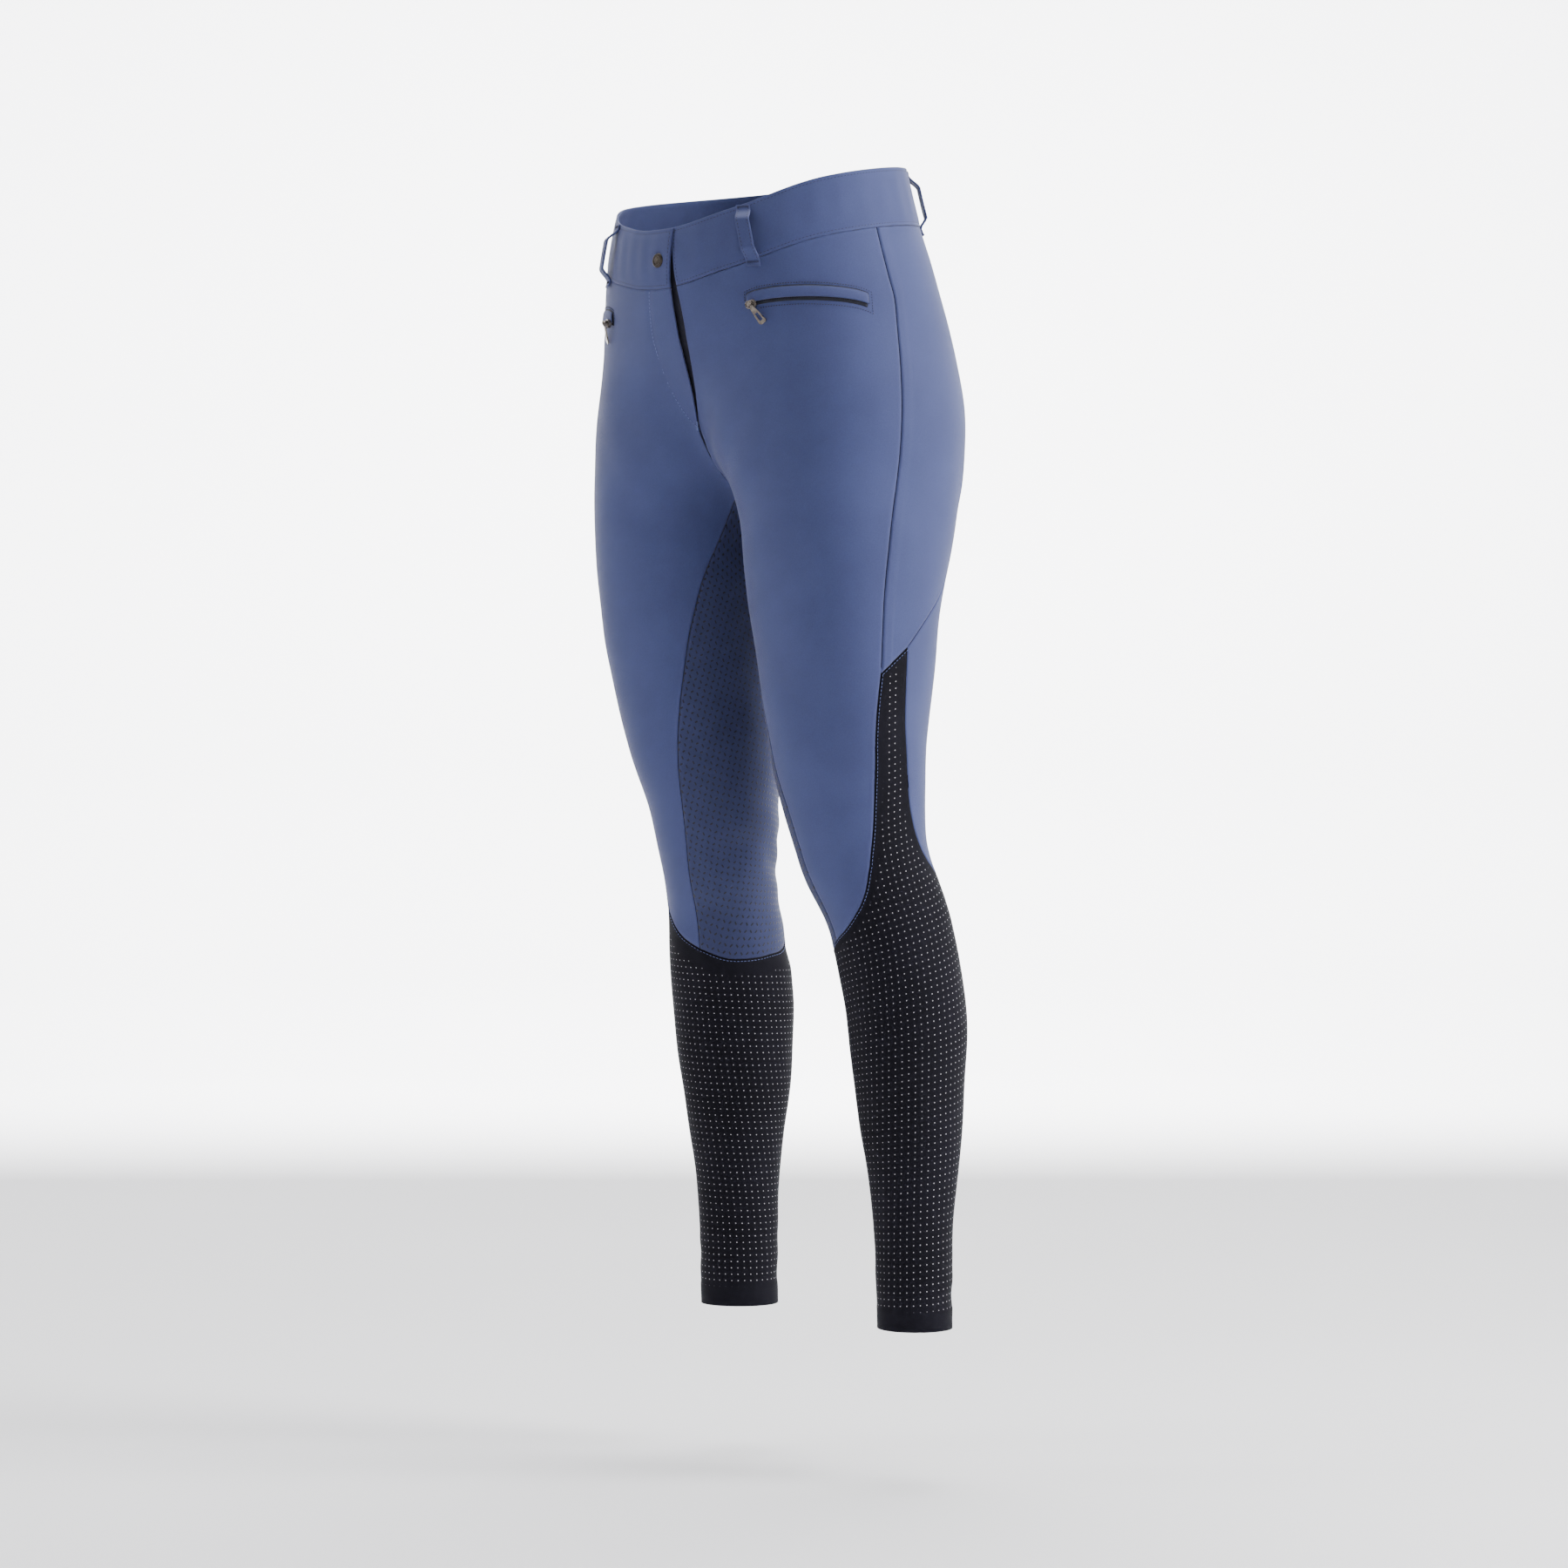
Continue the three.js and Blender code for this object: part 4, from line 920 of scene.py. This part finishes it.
# Keeps the painted seam shadow line off the band's pressed edges, which are painted paler as a highlight.
BAND_MARGIN = 0.6
BAND_ROWS = [0, 0.8, 1.8, 3.2, 5, 8, 12, 17, 23, 29, 35, 40, 43.5, 45.5, 47, 48]
BAND_STITCHED = (3.0, BAND_HEIGHT - 2.5)
BAND_STITCH_SINK = 0.3
TAB_STAND = {"left": -1.0, "right": 1.2}
TAB_REACH = 14


def band_surface(side, angles, below):
    """Points of the waistband's outer face and their normals."""
    across = below / BAND_HEIGHT
    from_end = angles - band_end(side, 0)
    lift = BAND_PROUD + BAND_PUFF * (1 - (2 * across - 1)**4)
    lift += BAND_RIPPLE * np.sin(np.radians(angles) * 41) * np.sin(np.pi * across)
    lift += TAB_STAND[side] * (1 - smoothstep(from_end, 0, TAB_REACH))
    for row in BAND_STITCHED:
        lift -= BAND_STITCH_SINK * np.exp(-((below - row) / 1.2)**2)
    points = waist_points(angles, band_heights(angles, below))
    normals = cloth_normals(points)
    return points + normals * lift[:, None], normals


for side in ("left", "right"):
    share, below = np.meshgrid(np.linspace(0, 1, 150), BAND_ROWS)
    ends = np.array([band_end(side, row) for row in BAND_ROWS])[:, None]
    angles = ends + (180 - ends) * share
    points = band_surface(side, angles.ravel(), below.ravel())[0].reshape(*share.shape, 3)
    margin = np.minimum(below, BAND_HEIGHT - below) + BAND_MARGIN
    band = cloth_piece(f"waistband_{side}_half", side, points, flat_sizes(points), BAND_CLOTH,
                       {"margin": margin}, round_edges=0.5)
    band.data.materials.append(blue_twill)
    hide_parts(f"waistband_{side}")

# Fly guard: a dark woven strip behind the fly opening, sewn to the left front's edge. It is partly painted
# shade: it reaches up behind the waistband's ends, where the dark gap is shadow, to paint that gap near
# black.
GUARD_TOP, GUARD_BOTTOM = -34, -190
GUARD_OVERLAP = 8
GUARD_DEPTH = 2.8


def woven_tape():
    made, start, feed = surface("woven_tape", Specular_IOR_Level=0.3)
    across, down = flat_cut_of(start)
    weave = (across * (2 * math.pi / 0.8)).maths("SINE") * (down * (2 * math.pi / 0.8)).maths("SINE")
    grain = grain_of(start, 1.2)
    tone = grain * 0.7 + weave * 0.12 + 0.1
    feed("Base Color", mixed(tone.ramp(0.0, 1.0), colour(14, 15, 24), colour(30, 32, 48)))
    feed("Roughness", 0.7 + grain * 0.15)
    feed("Normal", raised(weave, 0.5, 0.1))
    return made


tape_cloth = woven_tape()
down_share, across_share = np.meshgrid(np.linspace(0, 1, 50), np.linspace(0, 1, 13), indexing="ij")
guard_z = GUARD_TOP + (GUARD_BOTTOM - GUARD_TOP) * down_share
guard_low, guard_high = (edge.reshape(guard_z.shape) for edge in fly_edges_at(guard_z.ravel())[:, ::-1].T)
guard_low, guard_high = guard_low - GUARD_OVERLAP, guard_high + GUARD_OVERLAP
guard_x = guard_low + (guard_high - guard_low) * across_share
guard_points = front_points(guard_x.ravel(), guard_z.ravel())
guard_points -= cloth_normals(guard_points) * GUARD_DEPTH
guard = cloth_piece("fly_guard_and_painted_shade", "left", guard_points.reshape(*guard_x.shape, 3),
                    np.stack([guard_x, guard_z], -1), 1.0)
guard.data.materials.append(tape_cloth)
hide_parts("fly_guard")

# Zip pockets: over the dark coil zip lies a curved welt, folded from the twill, which is sewn in
# along its top and its ends.
WELT_CLOTH = 1.3
# Below 1, so that the painted shadow line along the welt's sewn edges is wider than a seam's.
WELT_MARGIN_SHARE = 0.6
# The faces of the welt and of the tape: height above the zip, and how far they stand off the front.
WELT_PROFILE = [
    (10.3, 0.3), (9.9, 0.8), (9.2, 1.25), (8, 1.6), (6.2, 1.8), (4.2, 1.95), (2.6, 1.9), (1.7, 1.7),
    (1.3, 1.1),
]
TAPE_PROFILE = [(2.6, 0.5), (1.6, 0.6), (0.2, 0.6), (-0.8, 0.5), (-1.3, 0.2), (-1.6, -0.4)]
CLOSE_ENDS = np.sort(np.concatenate([np.linspace(0, 1, 60), [0.004, 0.01, 0.99, 0.996]]))


def pocket_strip(profile, low, high):
    """The face of a strip along a pocket, its flat cut, and the distance from its sewn edges."""
    above, lift = np.array(profile, float).T
    share, above = np.meshgrid(low + (high - low) * CLOSE_ENDS, above)
    lift = lift[:, None] - 0.8 * (1 - smoothstep(np.minimum(share - low, high - share), 0, 0.014))
    points = pocket_points(share.ravel(), above.ravel())
    points += cloth_normals(points) * lift.ravel()[:, None]
    points = points.reshape(*share.shape, 3)
    flat = flat_sizes(points)
    ends = np.minimum(flat[..., 0] - flat[:, :1, 0], flat[:, -1:, 0] - flat[..., 0])
    return points, flat, np.minimum(ends, -flat[..., 1])


for side in ("left", "right"):
    points, flat, margin = pocket_strip(WELT_PROFILE, 0, 1)
    welt = cloth_piece(f"welt_{side}_strip", side, points, flat, WELT_CLOTH,
                       {"margin": margin * WELT_MARGIN_SHARE})
    welt.data.materials.append(blue_twill)
    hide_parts(f"welt_{side}")
    points, flat, _ = pocket_strip(TAPE_PROFILE, 0.01, 0.99)
    zip_tape = cloth_piece(f"zip_{side}_tape", side, points, flat, 0.6)
    zip_tape.data.materials.append(tape_cloth)
    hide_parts(f"zip_{side}")

# Belt loops: five strips of folded twill. Each is tacked under the band's top edge, bows out over
# the belt's way and is turned under and tacked below the band's seam.
LOOP_WIDTH, LOOP_CLOTH = 12, 1.5
LOOP_ABOVE, LOOP_BELOW = 1, BAND_HEIGHT + 6
LOOP_REST, LOOP_CLEAR = 0.35, 7.6
LOOP_RISE = {"top": (0.06, 0.26), "bottom": (0.08, 0.3)}
LOOP_TOE = 0.9
LOOP_ACROSS = np.array([-0.5, -0.47, -0.41, -0.25, 0, 0.25, 0.41, 0.47, 0.5])
LOOP_ROUND = 0.35
# Keeps the painted seam shadow off the loop's folded edges, which are painted paler as a highlight.
LOOP_MARGIN = 0.9
# Name, side, and the angles round the waist of its top and its bottom.
LOOPS = [("front_left", "left", 38.5, 43), ("front_right", "right", 38.5, 43),
         ("back_left", "left", 127, 127), ("back_right", "right", 127, 127),
         ("centre_back", "left", 180, 180)]


def loop_surface(top, bottom, down, across):
    """Points of a loop's outer face, their normals, and the loop's direction across."""
    angles = top + (bottom - top) * down
    high = band_heights(np.array([float(top)]), LOOP_ABOVE)[0]
    low = band_heights(np.array([float(bottom)]), LOOP_BELOW)[0]
    middle = waist_points(angles, high + (low - high) * down)
    outward = cloth_normals(middle) * [1, 1, 0]
    outward /= np.linalg.norm(outward, axis=1, keepdims=True)
    sideways = np.cross([0, 0, 1], outward)
    bulge = smoothstep(down, *LOOP_RISE["top"]) * smoothstep(1 - down, *LOOP_RISE["bottom"])
    lift = BAND_PROUD + LOOP_REST + LOOP_CLEAR * bulge + LOOP_CLOTH
    lift += LOOP_TOE * smoothstep(down, 0.93, 1) - LOOP_ROUND * (2 * across)**6
    return middle + sideways * (across * LOOP_WIDTH)[:, None] + outward * lift[:, None], outward, sideways


for name, side, top, bottom in LOOPS:
    across, down = np.meshgrid(LOOP_ACROSS, np.linspace(0, 1, 70))
    points = loop_surface(top, bottom, down.ravel(), across.ravel())[0].reshape(*down.shape, 3)
    margin = (0.5 - np.abs(across)) * LOOP_WIDTH + LOOP_MARGIN
    loop = cloth_piece(f"belt_loop_{name}", side, points, flat_sizes(points), LOOP_CLOTH,
                       {"margin": margin}, round_edges=0.4)
    loop.data.materials.append(blue_twill)
    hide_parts(f"loop_{name}")

# Sewing thread: polyester. The top stitching runs beside the seams in rows of short stitches, each
# sunk halfway into the cloth, and short dense rows of it tack the loops and the fly's end.
STITCH = (2.3, 0.5, 0.4)
STITCH_PITCH = 3.0
POCKET_STITCHES = (2.2, (1.5, 0.8, 0.6))
OUTLINE_STITCHES = (0.95, (1.1, 0.7, 0.5))
TACK = (0.5, 2.6, 0.5)
TACK_PITCH = 0.8


def thread_finish(name, tone):
    made, start, feed = surface(name, Sheen_Weight=0.1, Specular_IOR_Level=0.3)
    grain = grain_of(start, 0.6)
    feed("Base Color", mixed(grain.ramp(0.2, 0.8), colour(*(c * 0.85 for c in tone)), colour(*tone)))
    feed("Roughness", 0.5 + grain * 0.2)
    return made


pale_thread = thread_finish("pale_thread", (98, 112, 164))
navy_thread = thread_finish("navy_thread", (20, 23, 46))
stitch_mesh = bpy.data.meshes.new("stitch")
stitch_shape = bmesh.new()
bmesh.ops.create_uvsphere(stitch_shape, u_segments=6, v_segments=4, radius=0.5)
stitch_shape.to_mesh(stitch_mesh)
stitch_shape.free()


def sew(thread, path, normals, pitch=STITCH_PITCH, size=STITCH):
    """Adds stitches along a path of points, each laid along it and facing out."""
    length = np.concatenate([[0], np.cumsum(np.linalg.norm(np.diff(path, axis=0), axis=1))])
    count = max(int(length[-1] / pitch), 1)
    centres = (np.arange(count) + 0.5) * length[-1] / count

    def on_path(values, where):
        return np.column_stack([np.interp(where, length, column) for column in values.T])

    runs = on_path(path, centres + 0.5) - on_path(path, centres - 0.5)
    for centre, run, out in zip(on_path(path, centres), runs, on_path(normals, centres)):
        run, out = Vector(run).normalized(), Vector(out).normalized()
        across = out.cross(run).normalized()
        place = Matrix([run * size[0], across * size[1], run.cross(across) * size[2]]).transposed().to_4x4()
        place.translation = Vector(centre)
        one = stitch_mesh.copy()
        one.transform(Matrix.Scale(0.001, 4) @ place)
        thread.from_mesh(one)
        bpy.data.meshes.remove(one)


def thread_piece(name, thread, side, finish):
    """Turns gathered stitches into a piece. The right side's are mirrored."""
    if side == "right":
        bmesh.ops.transform(thread, matrix=Matrix.Diagonal((-1, 1, 1, 1)), verts=thread.verts[:])
        bmesh.ops.reverse_faces(thread, faces=thread.faces[:])
    piece = linked(name, thread)
    piece.data.materials.append(finish)
    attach(piece, "garment")
    return piece


def settled(points):
    """Moves points near the cloth onto it."""
    for _ in range(3):
        points = points - cloth_normals(points) * form(points)[:, None]
    return points


def beside(line, offset, side, lift=0.12):
    """A row beside a seam, on the cloth with its creases: its points and normals."""
    points = cloth_points(along(line, np.linspace(0, 1, 90)))
    across = np.cross(cloth_normals(points), np.gradient(points, axis=0))
    points = settled(points + across * offset / np.linalg.norm(across, axis=1, keepdims=True))
    normals = cloth_normals(points)
    return points + normals * (relief(points, side) + sewn_edge(abs(offset)) + lift)[:, None], normals


def pocket_row(corners, lift=0.1):
    """A row round a pocket, through corners given by share and height above the zip."""
    share, above = (np.interp(np.linspace(0, len(corners) - 1, 200), range(len(corners)), column)
                    for column in np.array(corners, float).T)
    points = pocket_points(share, above)
    normals = cloth_normals(points)
    return points + normals * (lift - pocket_sink(points))[:, None], normals


for side in ("left", "right"):
    lines = seams[side]
    thread = bmesh.new()
    sew(thread, *beside(lines["wedge_front"], 1.6, side))
    sew(thread, *beside(lines["wedge_top"], -1.6, side))
    sew(thread, *beside(lines["knee_front"], 1.6, side))
    sew(thread, *beside(lines["knee_back"], -1.6, side))
    thread_piece(f"mesh_stitching_{side}", thread, side, pale_thread)

    thread = bmesh.new()
    for below in BAND_STITCHED:
        angles = np.linspace(band_end(side, below) + 1.2, 179.5, 160)
        sew(thread, *band_surface(side, angles, 0 * angles + below))
    below = np.linspace(BAND_STITCHED[0], BAND_STITCHED[1], 20)
    angles = np.array([band_end(side, row) for row in below]) + 1.2
    sew(thread, *band_surface(side, angles, below))
    around = pocket_row([(-0.02, 5), (-0.02, 12.7), (1.03, 12.7), (1.03, -4.6), (0.12, -4.6)])
    sew(thread, *around, *POCKET_STITCHES)
    outline = pocket_row([(-0.001, 2.4), (-0.001, 10.8), (1.001, 10.8), (1.001, 2.4)], 0.25)
    sew(thread, *outline, *OUTLINE_STITCHES)
    thread_piece(f"edge_stitching_{side}", thread, side, navy_thread)

    coil = bmesh.new()
    sew(coil, *pocket_row([(0.1, 0.2), (0.975, 0.2)], 1.15), pitch=1.35, size=(0.85, 2, 0.7))
    thread_piece(f"zip_coil_{side}", coil, side, tape_cloth)

for name, side, top, bottom in LOOPS:
    thread = bmesh.new()
    for across in (-0.36, 0.36):
        down = np.linspace(0.02, 0.96, 60)
        points, normals, _ = loop_surface(top, bottom, down, 0 * down + across)
        sew(thread, points, normals)
    for down in (0.035, 0.94):
        across = np.linspace(-0.4, 0.4, 12)
        points, normals, _ = loop_surface(top, bottom, 0 * across + down, across)
        sew(thread, points, normals, TACK_PITCH, TACK)
    thread_piece(f"loop_stitching_{name}", thread, side, navy_thread)

thread = bmesh.new()
normals = cloth_normals(facing_line)
lift = front_extra("right")(facing_line) + 0.3
sew(thread, facing_line + normals * lift[:, None], normals)
thread_piece("facing_stitching", thread, "right", pale_thread)
thread = bmesh.new()
tack = front_points(np.linspace(-2.2, 1.2, 8), np.linspace(FLY_END + 5.5, FLY_END - 1.5, 8))
normals = cloth_normals(tack)
sew(thread, tack + normals * 0.9, normals, TACK_PITCH, (0.5, 2.2, 0.5))
thread_piece("fly_tack", thread, "right", pale_thread)

# Hardware: die-cast zip sliders and pull tabs with a worn finish, and a snap fastener whose dark
# plated cap is riveted through the tab of the waistband.
SNAP_HEIGHT = -56
SNAP_LIFT = 1.3
# The cap's radius and height, from its foot over a rolled rim to its embossed middle.
SNAP_PROFILE = [(0, 0), (5.9, 0), (6, 0.5), (5.8, 1), (5.2, 1.6), (4.6, 2), (4.1, 2.1), (3.7, 1.9),
                (3.4, 1.6), (3, 1.55), (2.6, 1.75), (2.2, 2), (1.2, 2.1), (0, 2.1)]


def spun(profile, steps, merge_within):
    """A closed round form from a profile of radius and height, in metres."""
    form_mesh = bmesh.new()
    rim = [form_mesh.verts.new((radius, 0, height)) for radius, height in profile]
    edges = [form_mesh.edges.new(pair) for pair in zip(rim, rim[1:])]
    bmesh.ops.spin(form_mesh, geom=[*rim, *edges], axis=(0, 0, 1), cent=(0, 0, 0), steps=steps,
                   angle=2 * math.pi, use_merge=True)
    bmesh.ops.remove_doubles(form_mesh, verts=form_mesh.verts[:], dist=merge_within)
    bmesh.ops.recalc_face_normals(form_mesh, faces=form_mesh.faces[:])
    return form_mesh


def cast_metal(name, deep, bright, roughness):
    made, start, feed = surface(name, Metallic=1.0)
    grain, cloud = grain_of(start, 0.5, 3.0), grain_of(start, 4)
    feed("Base Color", mixed((grain * 0.5 + cloud * 0.6).ramp(0.2, 0.9), deep, bright))
    feed("Roughness", roughness + cloud * 0.2)
    feed("Normal", raised(grain, 0.25, 0.05))
    return made


silver = cast_metal("silver_cast", colour(66, 61, 57), colour(146, 138, 130), 0.2)
dark_plate = cast_metal("dark_plated", colour(34, 31, 30), colour(74, 68, 62), 0.28)
for name in ("slider_left", "slider_right", "pull_left", "pull_right"):
    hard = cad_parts[name]
    hard.data.materials.clear()
    hard.data.materials.append(silver)

cap_shape = spun([(radius / 1000, height / 1000) for radius, height in SNAP_PROFILE], 40, 1e-6)
snap_seat = front_points(np.zeros(1), np.array([float(SNAP_HEIGHT)]))
snap_normal = Vector(cloth_normals(snap_seat)[0])
turned = snap_normal.to_track_quat("Z", "Y").to_matrix().to_4x4()
turned.translation = Vector(snap_seat[0] / 1000) + snap_normal * SNAP_LIFT / 1000
bmesh.ops.transform(cap_shape, matrix=turned, verts=cap_shape.verts[:])
cap = linked("snap_cap_face", cap_shape)
cap.data.materials.append(dark_plate)
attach(cap, "garment")
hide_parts("snap_cap")

# Floor and light: a plain pale dish of a floor under plain soft light, with a tall soft box at
# each side of the camera's view and weak light from the front and above.
FLOOR = -1.052
FLOOR_PROFILE = [(0, 0), (4.5, 0), (5.3, 0.15), (5.9, 0.6), (6.2, 1.4), (6.2, 4.25)]
floor = linked("floor", spun([(radius, FLOOR + height) for radius, height in FLOOR_PROFILE], 64, 1e-5))
pale, start, feed = surface("pale_floor", Roughness=0.85, Specular_IOR_Level=0.2)
feed("Base Color", mixed(grain_of(start, 900), colour(226, 226, 228), colour(234, 234, 236)))
floor.data.materials.append(pale)

world = bpy.data.worlds.new("studio")
world.use_nodes = True
world.node_tree.nodes["Background"].inputs["Color"].default_value = (1, 1, 1, 1)
world.node_tree.nodes["Background"].inputs["Strength"].default_value = 0.13
bpy.context.scene.world = world

# Each light: turn from the front, distance, height, width, tallness, power, and where it aims:
# how far out along its turn and at what height.
LIGHTS = {
    "left_box": (-38, 2.2, 0.8, 0.8, 1.2, 19, 0.0, -0.4),
    "right_box": (122, 2.2, 0.6, 0.9, 1.9, 112, 0.0, -0.4),
    "front_box": (50, 3.0, 2.0, 1.6, 1.2, 4, 0.0, -0.4),
    "top_box": (227, 0.8, 3.6, 3.0, 3.0, 260, 0.0, -0.4),
    "backdrop_box": (227, 3.2, 1.2, 4.0, 2.0, 900, 6.4, 0.0),
}
for name, (turn, distance, height, width, tallness, power, aim_out, aim_height) in LIGHTS.items():
    light = bpy.data.lights.new(name, "AREA")
    light.shape, light.size, light.size_y, light.energy = "RECTANGLE", width, tallness, power
    lamp = bpy.data.objects.new(name, light)
    outwards = Vector((math.sin(math.radians(turn)), -math.cos(math.radians(turn)), 0))
    lamp.location = outwards * distance + Vector((0, 0, height))
    aim = outwards * aim_out + Vector((0, 0, aim_height)) - lamp.location
    lamp.rotation_euler = aim.to_track_quat("-Z", "Y").to_euler()
    lamp.visible_camera = False
    bpy.context.collection.objects.link(lamp)
